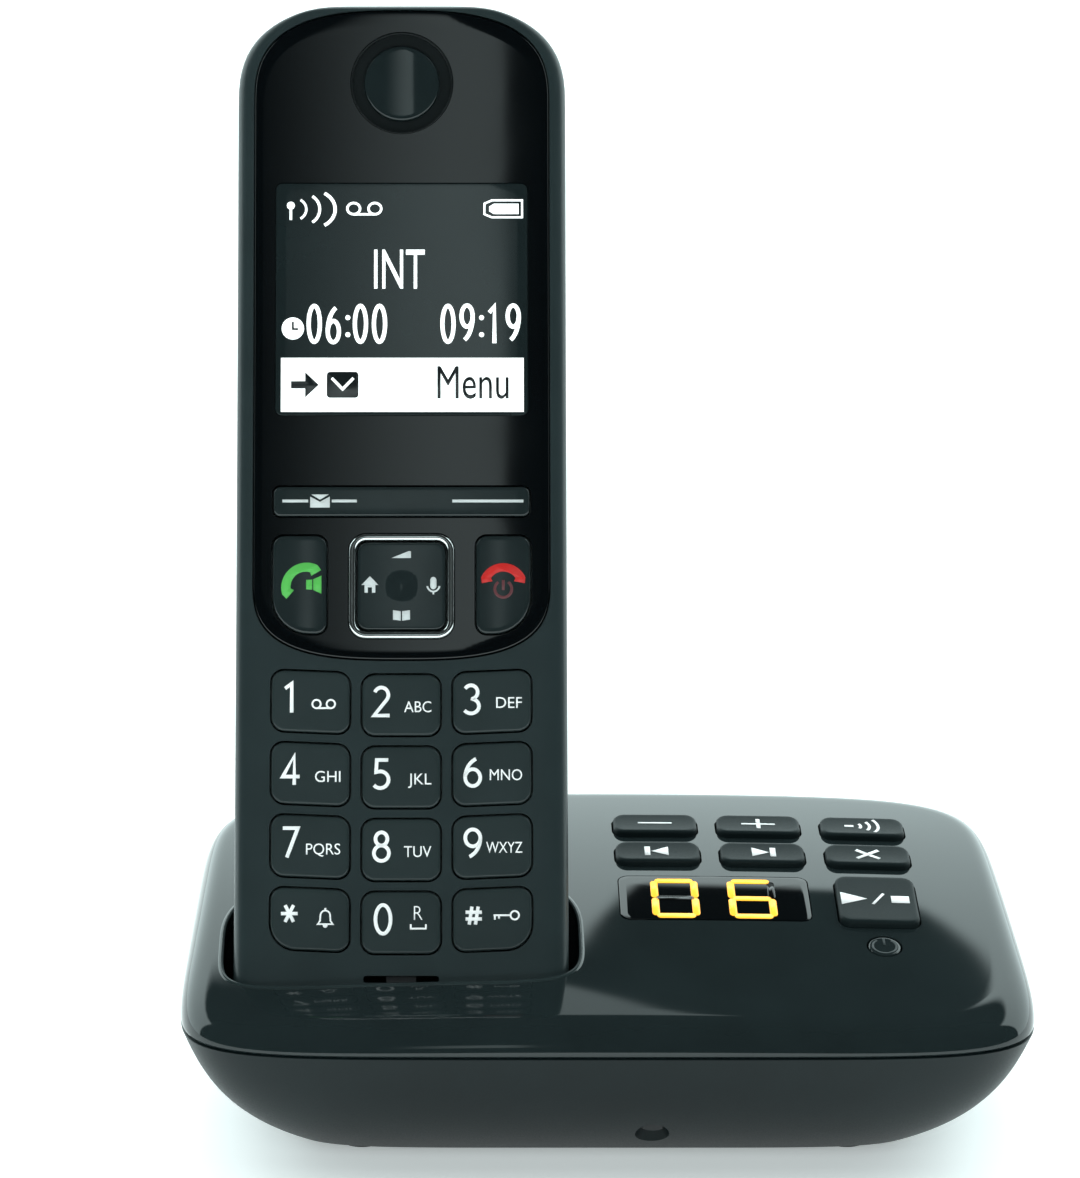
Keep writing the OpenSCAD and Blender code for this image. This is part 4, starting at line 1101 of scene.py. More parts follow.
@dataclass
class Handset:
    """The handset: casings, gloss panel, display, keys, earpiece, battery door and what lies under it."""

    form: HandsetForm = field(default_factory=HandsetForm)
    panel_w: float = 43.8
    panel_low: float = 57.0
    panel_top: float = 154.3
    panel_curve: tuple[float, float] = (12.0, 14.0)
    panel_t: float = 1.0
    ear_at: float = 143.4
    ear_r: tuple[float, float] = (5.6, 7.6)
    window: tuple[float, float] = (37.4, 34.8)
    window_at: float = 110.9
    soft: tuple[float, float] = (37.8, 4.4)
    soft_at: float = 80.6
    call: tuple[float, float] = (8.0, 14.6)
    call_at: tuple[float, float] = (15.0, 68.2)
    nav: float = 15.6
    nav_at: float = 68.0
    nav_width: float = 1.05
    key: tuple[float, float] = (11.5, 9.0)
    pitch: tuple[float, float] = (13.3, 10.65)
    row0: float = 18.9
    key_slope: float = 0.042
    key_gap: float = 0.25
    proud: float = 0.3
    door: tuple[float, float] = (34.0, 56.0)
    door_at: float = 63.0
    cell_r: float = 5.2
    cell_at: tuple[float, float] = (13.1, 39.0)
    cell_l: float = 44.5

    def __post_init__(self) -> None:
        """Finds the handset's place from its charging pads, which lie at its lower end."""
        lean = math.radians(23)
        s, c = math.sin(lean), math.cos(lean)
        low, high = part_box("charge_pads")
        middle = (low + high) / 2 / MM
        pad_h, pad_w = 8.0, 1.0
        origin = (middle.x, middle.y - pad_h * c - pad_w * s, middle.z + pad_h * s - pad_w * c)
        self.place = Place(origin, ((1, 0, 0), (0, s, c), (0, -c, s)))

    def face(self, proud: float = 0.0, crown: float = 0.0, at: Sequence[float] = (0, 0),
             half: Sequence[float] = (1, 1)) -> Height:
        """Height of the face, raised, with a crown that falls off over a key's half size."""

        def height(u: Array, w: Array) -> Array:
            """The face's arc plus the crown, a bowl turned over."""
            fall = ((u - at[0]) / half[0]) ** 2 + ((w - at[1]) / half[1]) ** 2
            return self.form.face(w) + proud - crown * fall

        return height

    def panel(self, inset: float) -> Array:
        """The gloss panel's outline: a U of power 3 below and an arch of power 2.8 above."""
        a = self.panel_w / 2 - inset
        low_y, high_y = self.panel_low + self.panel_curve[0], self.panel_top - self.panel_curve[1]
        turn = np.linspace(0, np.pi, 400)
        below = np.stack([-a * signed_pow(np.cos(turn), 2 / 3),
                          low_y - (self.panel_curve[0] - inset) * np.sin(turn) ** (2 / 3)], 1)
        above = np.stack([a * signed_pow(np.cos(turn), 2 / 2.8),
                          high_y + (self.panel_curve[1] - inset) * np.sin(turn) ** (2 / 2.8)], 1)
        return evened(np.vstack([below, above]), 240)

    def call_outline(self, side: int) -> Outline:
        """The outline of the talk key, side -1, or the end key, side 1."""
        radii = (5.4, 1.6, 1.6, 1.6) if side < 0 else (1.6, 5.4, 1.6, 1.6)
        return rounded(*self.call, radii, at=(side * self.call_at[0], self.call_at[1]))

    def key_place(self, key: KeyText) -> tuple[float, float]:
        """Middle of a digit key; the middle column sits half a millimetre lower."""
        return ((key.column - 1) * self.pitch[0],
                self.row0 + key.row * self.pitch[1] - (0.5 if key.column == 1 else 0.0))

    def key_outline(self, key: KeyText) -> Outline:
        """A digit key's outline: the outer columns slope, and the lowest outer corners are larger."""
        radii = [1.9] * 4
        if key.row == 0 and key.column != 1:
            radii[0 if key.column == 0 else 1] = 3.6
        slope = (1 - key.column) * self.key_slope
        return rounded(*self.key, radii, slope, self.key_place(key))

    def keypad_cuts(self) -> list[tuple[Shape, Place]]:
        """Openings of the digit keys."""
        return [(prism(self.key_outline(k), -7.0, 8.0, -self.key_gap), self.place) for k in DIGIT_KEYS]

    def panel_cuts(self, low: float) -> list[tuple[Shape, Place]]:
        """Openings of the keys in the gloss panel."""
        outlines = [rounded(*self.soft, 1.0, at=(0, self.soft_at)),
                    self.call_outline(-1), self.call_outline(1)]
        cuts = [(prism(o, low, 8.0, -self.key_gap), self.place) for o in outlines]
        ring = rounded(self.nav, self.nav, 2.6, at=(0, self.nav_at))
        return cuts + [(prism(ring, low, 8.0, -0.12), self.place)]

    def casings(self) -> None:
        """Makes the front and rear casings and cuts their openings."""
        front = self.form.half_shell(True).made("front_casing", self.place)
        pocket = prism(self.panel, self.face(-self.panel_t - 0.1), 8.0, -0.12)
        cuts = self.keypad_cuts() + [(pocket, self.place)] + self.pad_cuts()
        cuts.append((prism(rounded(11.0, 1.0, 0.45, at=(0, 10.2)), -7.0, 8.0), self.place))
        front = carved(front, cuts)
        behind = rounded(self.window[0] - 2, self.window[1] - 2, 1.0, at=(0, self.window_at))
        inner = [(prism(behind, -7.0, 8.0),
                  self.place), (prism(disc(4.6, (0, self.ear_at)), -7.0, 8.0), self.place)]
        carved_front = carved(front, self.panel_cuts(-7.0) + inner)
        settled(BODY.on(carved_front), "handset", "handset_frame", "front_shell")

        rear = self.form.half_shell(False).made("rear_casing", self.place)
        door = rounded(*self.door, 5.0, at=(0, self.door_at))
        cuts = [(prism(door, -40.0, -10.0, -0.12), self.place)] + self.pad_cuts()
        for u, w in ((-16.5, 137.4), (16.5, 137.4), (-18.2, 9.4), (18.2, 9.4)):
            cuts.append((prism(disc(1.9, (u, w), 32), -40.0, -11.2), self.place))
        for k in range(-2, 3):
            for j in range(-1, 2):
                hole = rounded(2.2, 0.9, 0.42, at=(3.4 * k, 122.0 + 2.4 * j))
                cuts.append((prism(hole, -40.0, -9.0), self.place))
        settled(SATIN.on(carved(rear, cuts)), "handset", "satin_casing", "rear_shell")

    def pad_cuts(self) -> list[tuple[Shape, Place]]:
        """Slots for the two charging pads in the lower end."""
        a, along, out = self.place.axes
        end = Place(self.place.origin, (a, tuple(-v for v in out), along))
        return [(prism(rounded(6.24, 4.24, 0.3, at=(s * 13.0, 8.0)), -2.0, 4.0), end) for s in (-1, 1)]

    def tray(self) -> None:
        """Makes the open tray of two round troughs that the cells lie in.

        The section is two arcs side by side with a low crest between them, carried along the cells.
        """
        r, low_w = self.cell_r + 0.35, self.cell_at[1] - 2.2
        high_w = self.cell_at[1] + self.cell_l + 2.2
        turn = np.radians(np.linspace(180, 0, 17))
        half = [np.stack([s * (self.cell_r + 0.1) + r * np.cos(turn), -self.cell_at[0] + r * np.sin(turn)], 1)
                for s in (-1, 1)]
        inner = np.vstack(half)
        outer = inner * np.array([1.045, 1.0]) + np.array([0.0, 0.9])
        loop = np.vstack([inner, outer[::-1]])
        rows = np.stack([np.column_stack([loop[:, 0], np.full(len(loop), w), loop[:, 1]])
                         for w in np.linspace(low_w, high_w, 5)])
        body = Shape().lattice(rows)
        body.polygon(rows[0][::-1]).polygon(rows[-1])
        settled(BODY.on(body.made("battery_tray", self.place)), "handset", "satin_casing")

    def battery_door(self) -> None:
        """Makes the battery door, which follows the back, with ribs for the thumb."""
        outline = rounded(*self.door, 5.0, at=(0, self.door_at))

        def outside(u: Array, w: Array) -> Array:
            """The back with five shallow ribs across the top of the door, faded at their ends."""
            rib = np.cos((w - self.door_at - 22) * 2 * np.pi / 2.2)
            across = np.clip(1.3 - np.abs(u) / 6.5, 0, 1)
            fade = across * np.clip(1.35 - np.abs(w - self.door_at - 22) / 4.6, 0, 1)
            return self.form.back_h(u, w) - 0.28 * np.clip(rib, -0.2, 1) * np.sqrt(fade) + 0.1

        rows = []
        inner = outline(0.35)
        middle = inner.mean(0)
        for s in np.linspace(0, 1, 60):
            rows.append(raised(middle + (inner - middle) * s, outside))
        for turn in np.radians([30, 60, 90]):
            ring = raised(outline(0.35 * (1 - math.sin(turn))), outside)
            ring[:, 2] += 0.35 * (1 - math.cos(turn))
            rows.append(ring)
        for s in np.linspace(1, 0, 14):
            rows.append(raised(middle + (outline(0) - middle) * s, lambda u, w: self.form.back_h(u, w, 1.7)))
        door = Shape().lattice(np.stack(rows)).made("back_door", self.place)
        settled(SATIN.on(door), "battery_door", "satin_casing", "battery_door")

    def gloss_panel(self) -> None:
        """Makes the gloss panel with its rounded edge, the display window and its surround."""
        body = cap(self.panel, self.face(0.0), -20.0, 0.45, 26)
        rows = body.points[0].reshape(-1, 240, 3)
        low = self.form.face(rows[:, :, 1]) - self.panel_t
        rows[:, :, 2] = np.maximum(rows[:, :, 2], low)
        panel = body.made("front_panel", self.place)
        cuts = self.panel_cuts(-7.0)
        window = rounded(*self.window, 1.0, at=(0, self.window_at))
        cuts += [(prism(window, -7.0, 8.0, -0.1), self.place),
                 (prism(disc(self.ear_r[1] + 0.1, (0, self.ear_at)), -7.0, 8.0), self.place)]
        settled(PIANO.on(carved(panel, cuts)), "handset", "panel_gloss", "gloss_panel")
        glass = cap(window, self.face(0.0), -0.5, 0.10, 14)
        settled(SCREEN.on(glass.made("screen", self.place)), "handset", "display_glass", "display_window")

    def earpiece(self) -> None:
        """Makes the earpiece: a domed disc in a grooved ring."""
        cap_r, ring_r = self.ear_r
        at = (0.0, self.ear_at)
        dome = cap(disc(cap_r, at), self.face(-0.05, 0.10, at, (cap_r, cap_r)), 0.6, 0.35, 14)
        settled(SCREEN.on(dome.made("earpiece_disc", self.place)), "handset", "handset_frame", "earpiece_cap")
        profile = [(0.0, -0.9), (0.0, -0.02), (0.05, 0.02), (0.14, 0.02), (0.20, -0.04), (0.24, -0.62),
                   (1.88, -0.66), (1.88, -0.9)]
        ring = moulding(disc(ring_r, at), profile, self.face())
        settled(CUP.on(ring.made("earpiece_groove", self.place)), "handset", "cradle_black", "earpiece_ring")

    def digit_pad(self) -> None:
        """Makes the twelve digit keys and prints them."""
        for key in DIGIT_KEYS:
            at = self.key_place(key)
            top = self.face(self.proud, 0.10, at, (self.key[0] / 2, self.key[1] / 2))
            shape = cap(self.key_outline(key), top, -3.2, 0.42, 10, (1.4, -3.5))
            settled(KEY.on(shape.made(f"{key.node}_cap", self.place)), key.node, "key_rubber", key.node)
            ink = Ink(top)
            slope = (1 - key.column) * self.key_slope
            left, low = at[0] - self.key[0] / 2, at[1] - self.key[1] / 2
            if key.digit in "*#":
                start = (left + (1.35 if key.digit == "*" else 1.75), low + 3.0)
                ink.digits(key.digit, start, 4.7 if key.digit == "*" else 4.1, 0.50)
            else:
                start = (left + (1.55 if key.digit != "0" else 1.75), low + 2.75 + slope * 3.4)
                ink.digits(key.digit, start, 4.5, 0.54, 1.04)
            if key.letters:
                size = 1.62
                reach = {"PQRS": 5.0, "WXYZ": 5.3, "MNO": 4.75}.get(key.letters, 4.0)
                right = left + self.key[0] - 1.35
                word = Ink(top).word(key.letters, (0, 0), size)
                flat = np.vstack(word.shape.points)
                squeeze = min(1.0, reach / flat[:, 0].max())
                corner = (right - flat[:, 0].max() * squeeze, low + 3.45 - slope * 3.0)
                word = Ink(top).word(key.letters, corner, size, squeeze)
                ink.add(word.shape)
            else:
                self.side_icon(key, ink, left, low)
            settled(ink.printed(f"{key.node}_legend", self.place, WHITE_INK), key.node, "key_rubber")

    def side_icon(self, key: KeyText, ink: Ink, left: float, low: float) -> None:
        """Draws the small icon of a digit key that has no letters."""
        if key.digit == "1":
            for x in (6.6, 8.7):
                ink.line(arc(left + x, low + 4.15, 0.62, 0.62, 0, 360, 17)[:-1], 0.27, True)
            ink.line(run((left + 6.6, low + 3.55), (left + 8.7, low + 3.55)), 0.27)
        elif key.digit == "*":
            x, y = left + 8.0, low + 3.8
            ink.line(run((x - 1.1, y), (x - 0.75, y + 0.5), arc(x, y + 1.2, 0.72, 0.8, 180, 0, 11),
                         (x + 0.75, y + 0.5), (x + 1.1, y)), 0.24, True)
            ink.patch(arc(x, y - 0.12, 0.38, 0.42, 180, 360, 9))
            ink.line(run((x, y + 2.0), (x, y + 2.35)), 0.3)
        elif key.digit == "0":
            x = left + 7.35
            ink.word("R", (x + 0.25, low + 4.9), 2.1, 0.85, 0.012)
            tray = run((x - 0.2, low + 4.3), (x - 0.2, low + 3.65),
                       (x + 2.0, low + 3.65), (x + 2.0, low + 4.3))
            ink.line(tray, 0.26)
        else:
            x, y = left + 9.0, low + 5.1
            ink.line(arc(x, y, 0.62, 0.62, 0, 360, 17)[:-1], 0.27, True)
            ink.line(run((x - 0.6, y), (x - 3.1, y)), 0.27)
            ink.line(run((x - 2.9, y), (x - 2.9, y - 0.65)), 0.27)
            ink.line(run((x - 2.3, y), (x - 2.3, y - 0.5)), 0.27)

    def call_keys(self) -> None:
        """Makes the softkey bar, the talk and end keys, the chrome ring and the four-way key."""
        at = (0.0, self.soft_at)
        top = self.face(0.28, 0.08, at, (self.soft[0] / 2, self.soft[1] / 2))
        bar = cap(rounded(*self.soft, 1.0, at=at), top, -2.3, 0.35, 12, (1.2, -4.0))
        settled(KEY_GLOSS.on(bar.made("softkeys", self.place)), "softkey_bar", "key_rubber", "softkey_bar")
        y = self.soft_at + 0.05
        ink = Ink(top)
        for start, stop in ((-17.6, -13.8), (-10.3, -6.6), (7.5, 18.0)):
            ink.line(run((start, y), (stop, y)), 0.42)
        settled(ink.printed("softkey_lines", self.place, SILVER_INK), "softkey_bar", "key_rubber")
        ink = Ink(top)
        self.envelope(ink, (-12.05, y), (2.9, 1.95))
        settled(ink.printed("message_icon", self.place, SILVER_INK), "softkey_bar", "key_rubber")

        for side, node in ((-1, "talk_key"), (1, "end_key")):
            at = (side * self.call_at[0], self.call_at[1])
            top = self.face(0.25, 0.10, at, (self.call[0] / 2, self.call[1] / 2))
            shape = cap(self.call_outline(side), top, -3.2, 0.45, 14, (1.4, -3.5))
            settled(KEY_GLOSS.on(shape.made(f"{node}_cap", self.place)), node, "key_gloss", node)
            ink = Ink(top)
            if side < 0:
                self.receiver(ink, (at[0] - 0.55, at[1] + 1.4), 40.0, 3.6)
                x, y = at[0] + 0.95, at[1] + 0.0
                ink.patch([(x, y - 0.7), (x + 0.9, y - 0.75), (x + 0.9, y + 0.75), (x, y + 0.7)])
                cone = [(x + 1.05, y - 0.8), (x + 2.25, y - 1.35), (x + 2.25, y + 1.35), (x + 1.05, y + 0.8)]
                ink.patch(cone)
                settled(ink.printed("talk_icon", self.place, GREEN_INK), node, "key_gloss")
            else:
                self.receiver(ink, (at[0], at[1] + 1.95), 0.0, 3.45)
                settled(ink.printed("end_icon", self.place, RED_INK), node, "key_gloss")
                dim = Ink(top).line(arc(at[0], at[1] - 0.65, 1.25, 1.25, 125, 415, 21), 0.42)
                dim.line(run((at[0], at[1] - 0.8), (at[0], at[1] + 0.7)), 0.42)
                settled(dim.printed("power_icon", self.place, DIM_RED_INK), node, "key_gloss")
        self.nav_pad()

    def envelope(self, ink: Ink, at: Sequence[float], size: Sequence[float]) -> None:
        """Draws a filled envelope whose flap shows as a gap."""
        (x, y), (w, h) = at, (size[0] / 2, size[1] / 2)
        g = 0.16
        ink.patch([(x - w, y + h - 2 * g), (x, y - 0.12), (x + w, y + h - 2 * g),
                   (x + w, y - h), (x - w, y - h)])
        ink.patch([(x - w + g, y + h), (x, y + 0.2), (x + w - g, y + h)])

    def receiver(self, ink: Ink, at: Sequence[float], turn: float, half: float) -> None:
        """Draws a telephone receiver: a thick arch with a block at each end, turned by an angle."""
        c, s = math.cos(math.radians(turn)), math.sin(math.radians(turn))
        spin = np.array([[c, s], [-s, c]])
        upper = arc(0, -half * 0.62, half * 1.02, half * 0.98, 158, 22, 25)
        lower = arc(0, -half * 0.62, half * 0.62, half * 0.62, 33, 147, 21)
        left = np.array([(-half * 0.46, -half * 0.42), (-half * 0.92, -half * 0.50)])
        right = left[::-1] * np.array([-1, 1])
        ink.patch(run(upper, right, lower, left) @ spin + np.array(at))

    def nav_pad(self) -> None:
        """Makes the chrome ring and the four-way key with its dimple and four icons."""
        ring = rounded(self.nav, self.nav, 2.6, at=(0, self.nav_at))
        w = self.nav_width
        profile = [(0.0, -0.9), (0.0, 0.12), (0.06, 0.26), (0.22, 0.40), (0.5, 0.48), (0.8, 0.40),
                   (w - 0.06, 0.22), (w, 0.05), (w, -0.9)]
        chrome = moulding(ring, profile, self.face())
        settled(CHROME.on(chrome.made("chrome_ring", self.place)), "handset", "chrome_trim", "nav_ring")
        size = self.nav - 2 * w - 2 * self.key_gap
        at = (0.0, self.nav_at)

        def top(u: Array, v: Array) -> Array:
            """The face raised, with a round dimple of 2.3 mm in the middle and edges that fall off."""
            r2 = (u ** 2 + (v - self.nav_at) ** 2) / 2.3 ** 2
            dimple = 0.30 * np.clip(1 - r2, 0, 1) ** 1.2
            return self.form.face(v) + 0.28 - dimple - 0.04 * (u ** 2 + (v - self.nav_at) ** 2) / 36

        pad = cap(rounded(size, size, 1.5, at=at), top, -1.6, 0.35, 34)
        settled(KEY_GLOSS.on(pad.made("four_way_key", self.place)), "nav_key", "key_gloss", "nav_key")
        y = self.nav_at
        ink = Ink(top)
        ink.patch([(-1.5, y + 4.15), (1.4, y + 4.15), (1.4, y + 5.15), (1.1, y + 5.2)])
        ink.patch([(-5.9, y + 0.15), (-4.65, y + 1.45), (-3.4, y + 0.15)])
        ink.patch([(-5.45, y + 0.2), (-5.45, y - 1.0), (-4.95, y - 1.0), (-4.95, y - 0.2), (-4.35, y - 0.2),
                   (-4.35, y - 1.0), (-3.85, y - 1.0), (-3.85, y + 0.2)])
        ink.patch(run(arc(4.7, y + 0.85, 0.46, 0.5, 0, 180, 9), arc(4.7, y + 0.0, 0.46, 0.5, 180, 360, 9)))
        ink.line(arc(4.7, y + 0.15, 0.92, 0.98, 190, 350, 13), 0.26)
        ink.line(run((4.7, y - 0.75), (4.7, y - 1.25)), 0.26)
        for s in (-1, 1):
            ink.patch([(s * 0.1, y - 5.15), (s * 1.25, y - 5.0), (s * 1.25, y - 3.6), (s * 0.1, y - 3.75)])
        settled(ink.printed("four_way_icons", self.place, SILVER_INK), "nav_key", "key_gloss")

    def screen_graphics(self) -> None:
        """Draws the lit display: status icons, time and date, and the dark text on the lit menu bar."""
        face = self.face(0.0)
        lit = Ink(face)
        y = 124.4
        lit.patch(disc(0.6, (-16.5, y + 0.55), 14)(0)).line(run((-16.5, y + 0.3), (-16.5, y - 1.6)), 0.38)
        waves = ((-14.2, 1.4, 0.86, 0.35), (-12.2, 1.95, 1.1, 0.42), (-9.9, 2.4, 1.6, 0.50))
        for right, half, sag, stroke in waves:
            lit.line(arc(right - 2 * sag, y, 2 * sag, half / 0.866, -60, 60, 15), stroke)
        for x in (-7.15, -4.0):
            lit.line(arc(x, y + 0.1, 0.95, 0.85, 0, 360, 21)[:-1], 0.36, True)
        lit.line(run((-7.15, y - 0.75), (-4.0, y - 0.75)), 0.34)
        lit.line(run((17.9, y + 1.35), (13.4, y + 1.35), (12.3, y + 0.85), (12.3, y - 0.75), (13.4, y - 1.2),
                     (17.9, y - 1.2)), 0.30, True)
        lit.patch([(13.7, y + 0.85), (13.0, y + 0.4), (13.0, y - 0.3), (13.7, y - 0.72), (17.4, y - 0.72),
                   (17.4, y + 0.85)])
        lit.word("INT", (-4.1, 112.5), 5.9, 0.57, -0.002)
        x = -16.15
        clock = disc(1.66, (x, 106.5), 36)(0)
        lit.patch(clock)
        lit.digits("06:00", (-14.0, 104.3), 5.8, 0.62, 0.61, 0.80)
        lit.digits("09:19", (5.85, 104.3), 5.8, 0.62, 0.61, 0.80)
        bar_low, bar_high = 94.0, 102.1
        lit.patch([(-17.9, bar_low), (18.1, bar_low), (18.1, bar_high), (-17.9, bar_high)])
        settled(lit.printed("lit_graphics", self.place, LIT_PIXELS), "handset", "display_glass")
        dark = Ink(self.face(PRINT_RISE + PRINT_T))
        y = (bar_low + bar_high) / 2
        dark.patch([(-16.4, y - 0.55), (-14.3, y - 0.55), (-14.3, y - 1.9), (-12.3, y), (-14.3, y + 1.9),
                    (-14.3, y + 0.55), (-16.4, y + 0.55)])
        frame_line = rounded(4.7, 3.9, 0.5, at=(-8.75, y))(0)
        flap = run((-10.35, y + 1.0), (-8.75, y - 0.65), (-7.15, y + 1.0))
        dark.patch(frame_line)
        dark.word("Menu", (5.3, 96.0), 4.9, 0.70, 0.0)
        dark.line(run((x, 107.5), (x, 106.4), (x + 0.8, 106.4)), 0.3)
        settled(dark.printed("dark_graphics", self.place, DARK_PIXELS), "handset", "display_glass")
        flaps = Ink(self.face(2 * (PRINT_RISE + PRINT_T))).line(flap, 0.42)
        settled(flaps.printed("envelope_flap", self.place, LIT_PIXELS), "handset", "display_glass")

    def build(self) -> None:
        """Makes everything of the handset that shows."""
        self.casings()
        self.tray()
        self.battery_door()
        self.gloss_panel()
        self.earpiece()
        self.digit_pad()
        self.call_keys()
        self.screen_graphics()


# ---- Pieces kept from the frame ----


KEPT: dict[str, Finish] = {
    "cradle_cup": CUP, "digit_display": SOCKET, "control_mat": SILICONE, "control_board": BOARD,
    "base_board": BOARD, "loudspeaker": FRAME_METAL, "rubber_feet": RUBBER, "base_screws": SOCKET,
    "line_socket": SOCKET, "power_socket": SOCKET, "charge_contact_left": NICKEL,
    "charge_contact_right": NICKEL,
    "lcd_module": LCD, "earpiece_speaker": FRAME_METAL, "handset_board": BOARD, "key_mat": SILICONE,
    "nav_hub": SOCKET, "microphone": FRAME_METAL, "ringer_speaker": FRAME_METAL, "batteries": SLEEVE,
    "battery_contacts": NICKEL, "charge_pads": NICKEL, "handset_screws": SOCKET}


def dress_kept() -> None:
    """Gives the nodes that stay as they are their finishes and smooths their round faces."""
    for name, finish in KEPT.items():
        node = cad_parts[name]
        finish.on(node)
        node.data.shade_smooth()
        node.data.set_sharp_from_angle(angle=SHARP)


# ---- Studio ----


class Room:
    """The soft light around the phone, as a brightness for each direction.

    Behind the phone a wide soft panel stands, with a dark flag over it that the base's top mirrors. In front
    hangs a narrow panel with a crisp right edge, which the handset's gloss front mirrors.
    """

    def __init__(self, world: bpy.types.World) -> None:
        """Args:
            world: the world, whose nodes are used.
        """
        self.tree = world.node_tree
        way = self.tree.nodes.new("ShaderNodeTexCoord").outputs["Generated"]
        split = self.tree.nodes.new("ShaderNodeSeparateXYZ")
        self.tree.links.new(way, split.inputs[0])
        self.x, self.y, self.z = split.outputs[:3]

    def sum(self, kind: str, *values: bpy.types.NodeSocket | float) -> bpy.types.NodeSocket:
        """One step of arithmetic, such as ADD or MULTIPLY."""
        node = self.tree.nodes.new("ShaderNodeMath")
        node.operation = kind
        for socket, value in zip(node.inputs, values):
            if isinstance(value, (int, float)):
                socket.default_value = value
            else:
                self.tree.links.new(value, socket)
        return node.outputs[0]

    def over(self, value: bpy.types.NodeSocket | float, low: float, high: float) -> bpy.types.NodeSocket:
        """0 below the low bound, 1 above the high one, and a smooth step between."""
        node = self.tree.nodes.new("ShaderNodeMapRange")
        node.interpolation_type = "SMOOTHSTEP"
        node.inputs["From Min"].default_value = low
        node.inputs["From Max"].default_value = high
        self.tree.links.new(value, node.inputs["Value"])
        return node.outputs[0]

    def under(self, value: bpy.types.NodeSocket | float, low: float, high: float) -> bpy.types.NodeSocket:
        """1 below the low bound and 0 above the high one."""
        return self.sum("SUBTRACT", 1.0, self.over(value, low, high))

    def both(self, *values: bpy.types.NodeSocket | float) -> bpy.types.NodeSocket:
        """The product of several shares."""
        total = values[0]
        for value in values[1:]:
            total = self.sum("MULTIPLY", total, value)
        return total

    def behind(self) -> bpy.types.NodeSocket:
        """The brightness behind: a wide panel, less the dark flag, plus the soft strip above it."""
        side = self.sum("DIVIDE", self.x, self.sum("MAXIMUM", self.y, 0.001))
        low = self.under(self.z, 0.650, 0.664)
        left_edge = self.sum("ADD", side, self.sum("MULTIPLY", self.z, 0.2))
        left = self.both(self.under(left_edge, 0.194, 0.204), self.under(self.z, 0.75, 0.80))
        right_edge = self.sum("SUBTRACT", side, self.sum("MULTIPLY", self.z, 0.9))
        right = self.both(self.over(right_edge, -0.415, -0.400), self.under(self.z, 0.80, 0.84))
        panel = self.sum("MINIMUM", 1.0, self.sum("ADD", low, self.sum("ADD", left, right)))
        strip_edge = self.sum("SUBTRACT", self.z, self.sum("MULTIPLY", side, 0.4))
        strip = self.both(self.over(strip_edge, 0.785, 0.793), self.under(self.z, 0.852, 0.862),
                          self.over(side, -0.16, 0.02))
        bright = self.sum("ADD", self.both(panel, 2.7), self.both(strip, 1.25))
        return self.both(bright, self.over(self.y, 0.0, 0.05))

    def ahead(self) -> bpy.types.NodeSocket:
        """The brightness on the viewer's side: a panel that fades to the left, crisp on the right."""
        side = self.sum("DIVIDE", self.x, self.sum("MAXIMUM", self.sum("MULTIPLY", self.y, -1.0), 0.001))
        shape = self.both(self.over(side, -0.052, 0.012), self.under(side, 0.0195, 0.0210))
        height = self.both(self.over(self.z, 0.42, 0.46), self.under(self.z, 0.60, 0.66))
        return self.both(shape, height, 1.15)

    def build(self, dim: float) -> None:
        """Joins both sides over a dim surround."""
        front = self.both(self.ahead(), self.under(self.y, -0.02, -0.01))
        total = self.sum("ADD", self.sum("ADD", self.behind(), front), dim)
        background = self.tree.nodes["Background"]
        background.inputs["Color"].default_value = (0.84, 1.0, 1.0, 1)
        self.tree.links.new(total, background.inputs["Strength"])


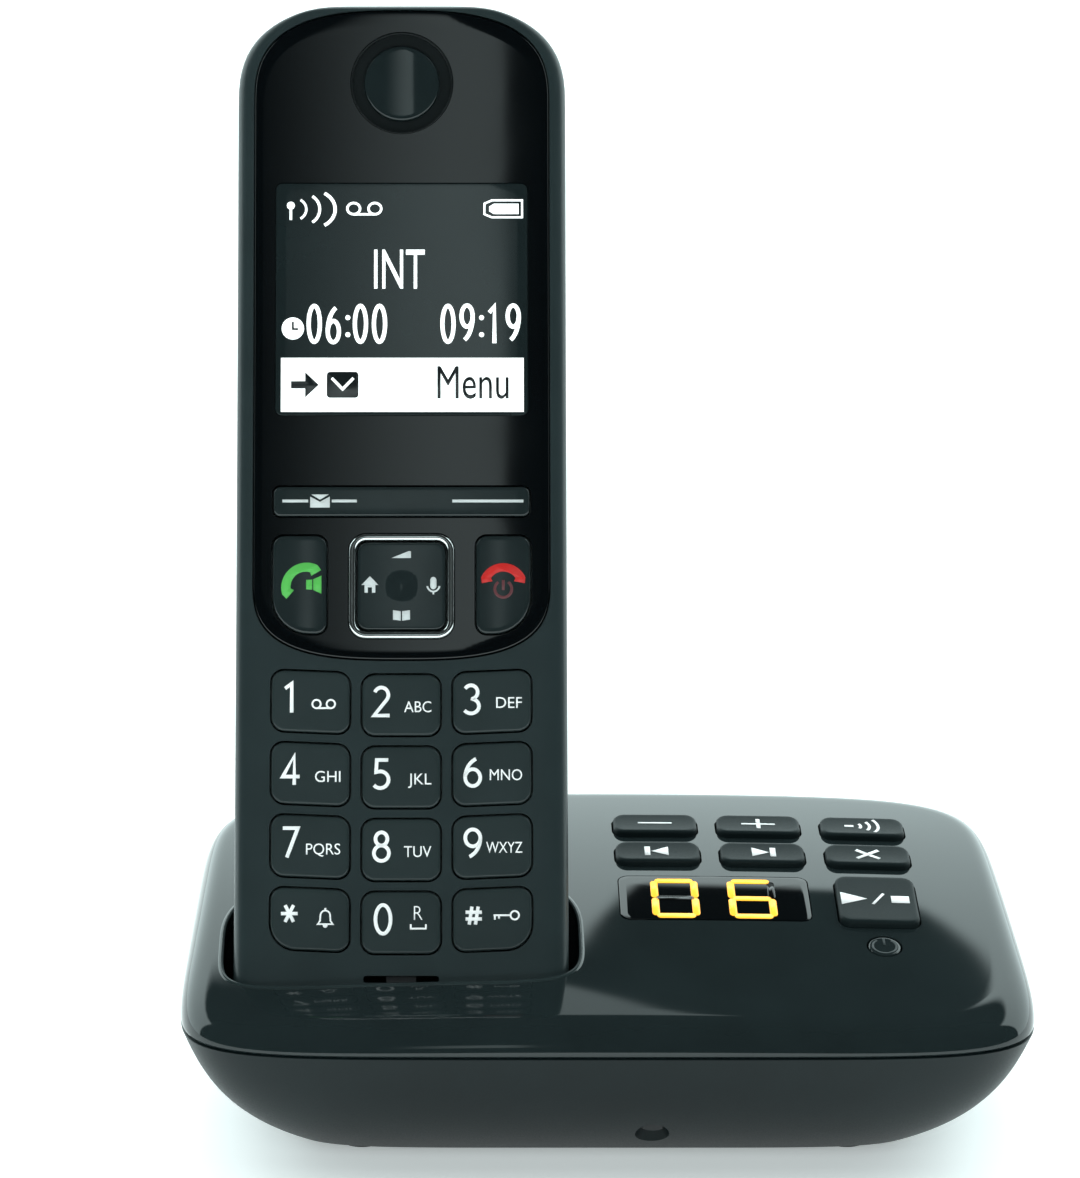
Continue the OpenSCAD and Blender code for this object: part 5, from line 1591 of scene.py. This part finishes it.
@dataclass
class Studio:
    """The camera, the pale floor and the soft lights."""

    aim: tuple[float, float, float] = (-25.9, 0.0, 81.5)
    distance: float = 632.0
    pitch: float = 16.0
    lens: float = 131.4
    shift: float = 0.0934

    def camera(self, base_y: float) -> None:
        """Puts the camera at its place, looking down at a small angle.

        Args:
            base_y: the base's middle in millimetres.
        """
        data = bpy.data.cameras.new("camera")
        data.lens, data.sensor_width, data.shift_x = self.lens, 36.0, self.shift
        data.clip_start, data.clip_end = 0.01, 50
        camera = bpy.data.objects.new("camera", data)
        p = math.radians(self.pitch)
        aim = np.array(self.aim) + np.array([0, base_y, 0])
        camera.location = (aim - self.distance * np.array([0, math.cos(p), -math.sin(p)])) * MM
        camera.rotation_euler = (math.pi / 2 - p, 0, 0)
        bpy.context.scene.collection.objects.link(camera)
        bpy.context.scene.camera = camera

    def softbox(self, name: str, at: Sequence[float], size: Sequence[float], power: float) -> None:
        """Adds a rectangular soft light that faces the phone and that nothing mirrors.

        Args:
            name: the light's name.
            at: where it hangs.
            size: its width and height.
            power: its power in watts.
        """
        data = bpy.data.lights.new(name, "AREA")
        data.shape, data.size, data.size_y, data.energy = "RECTANGLE", size[0], size[1], power
        data.color = (0.92, 1.0, 1.0)
        light = bpy.data.objects.new(name, data)
        light.location = at
        light.rotation_euler = (Vector((0, 0, 0.06)) - Vector(at)).to_track_quat("-Z", "Y").to_euler()
        light.visible_camera = light.visible_glossy = False
        bpy.context.scene.collection.objects.link(light)

    def floor(self) -> None:
        """Adds the pale floor."""
        mesh = bpy.data.meshes.new("floor")
        mesh.from_pydata([(-12, -8, 0), (12, -8, 0), (12, 16, 0), (-12, 16, 0)], [], [(0, 1, 2, 3)])
        floor = bpy.data.objects.new("floor", mesh)
        made = bpy.data.materials.new("floor")
        made.use_nodes = True
        shader = made.node_tree.nodes["Principled BSDF"]
        shader.inputs["Base Color"].default_value = (0.86, 0.88, 0.88, 1)
        shader.inputs["Roughness"].default_value = 0.6
        shader.inputs["Specular IOR Level"].default_value = 0.1
        shader.inputs["Emission Color"].default_value = (0.92, 1.0, 1.0, 1)
        shader.inputs["Emission Strength"].default_value = 0.36
        mesh.materials.append(made)
        bpy.context.scene.collection.objects.link(floor)

    def build(self) -> None:
        """Makes the whole studio."""
        world = bpy.data.worlds.new("studio")
        bpy.context.scene.world = world
        world.use_nodes = True
        Room(world).build(0.035)
        self.floor()
        self.softbox("overhead", (0.0, 0.1, 2.2), (3.0, 3.0), 46)
        self.softbox("front_fill", (-0.3, -1.9, 1.1), (1.8, 1.2), 20)
        bpy.context.scene.view_settings.view_transform = "Standard"


def main() -> None:
    """Builds the phone's looks around the frame."""
    logging.basicConfig(level=logging.INFO, format="%(message)s")
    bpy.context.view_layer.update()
    base, handset, studio = Base(), Handset(), Studio()
    studio.camera(base.y)
    base.build(handset.place)
    handset.build()
    dress_kept()
    studio.build()


if __name__ == "__main__":
    main()
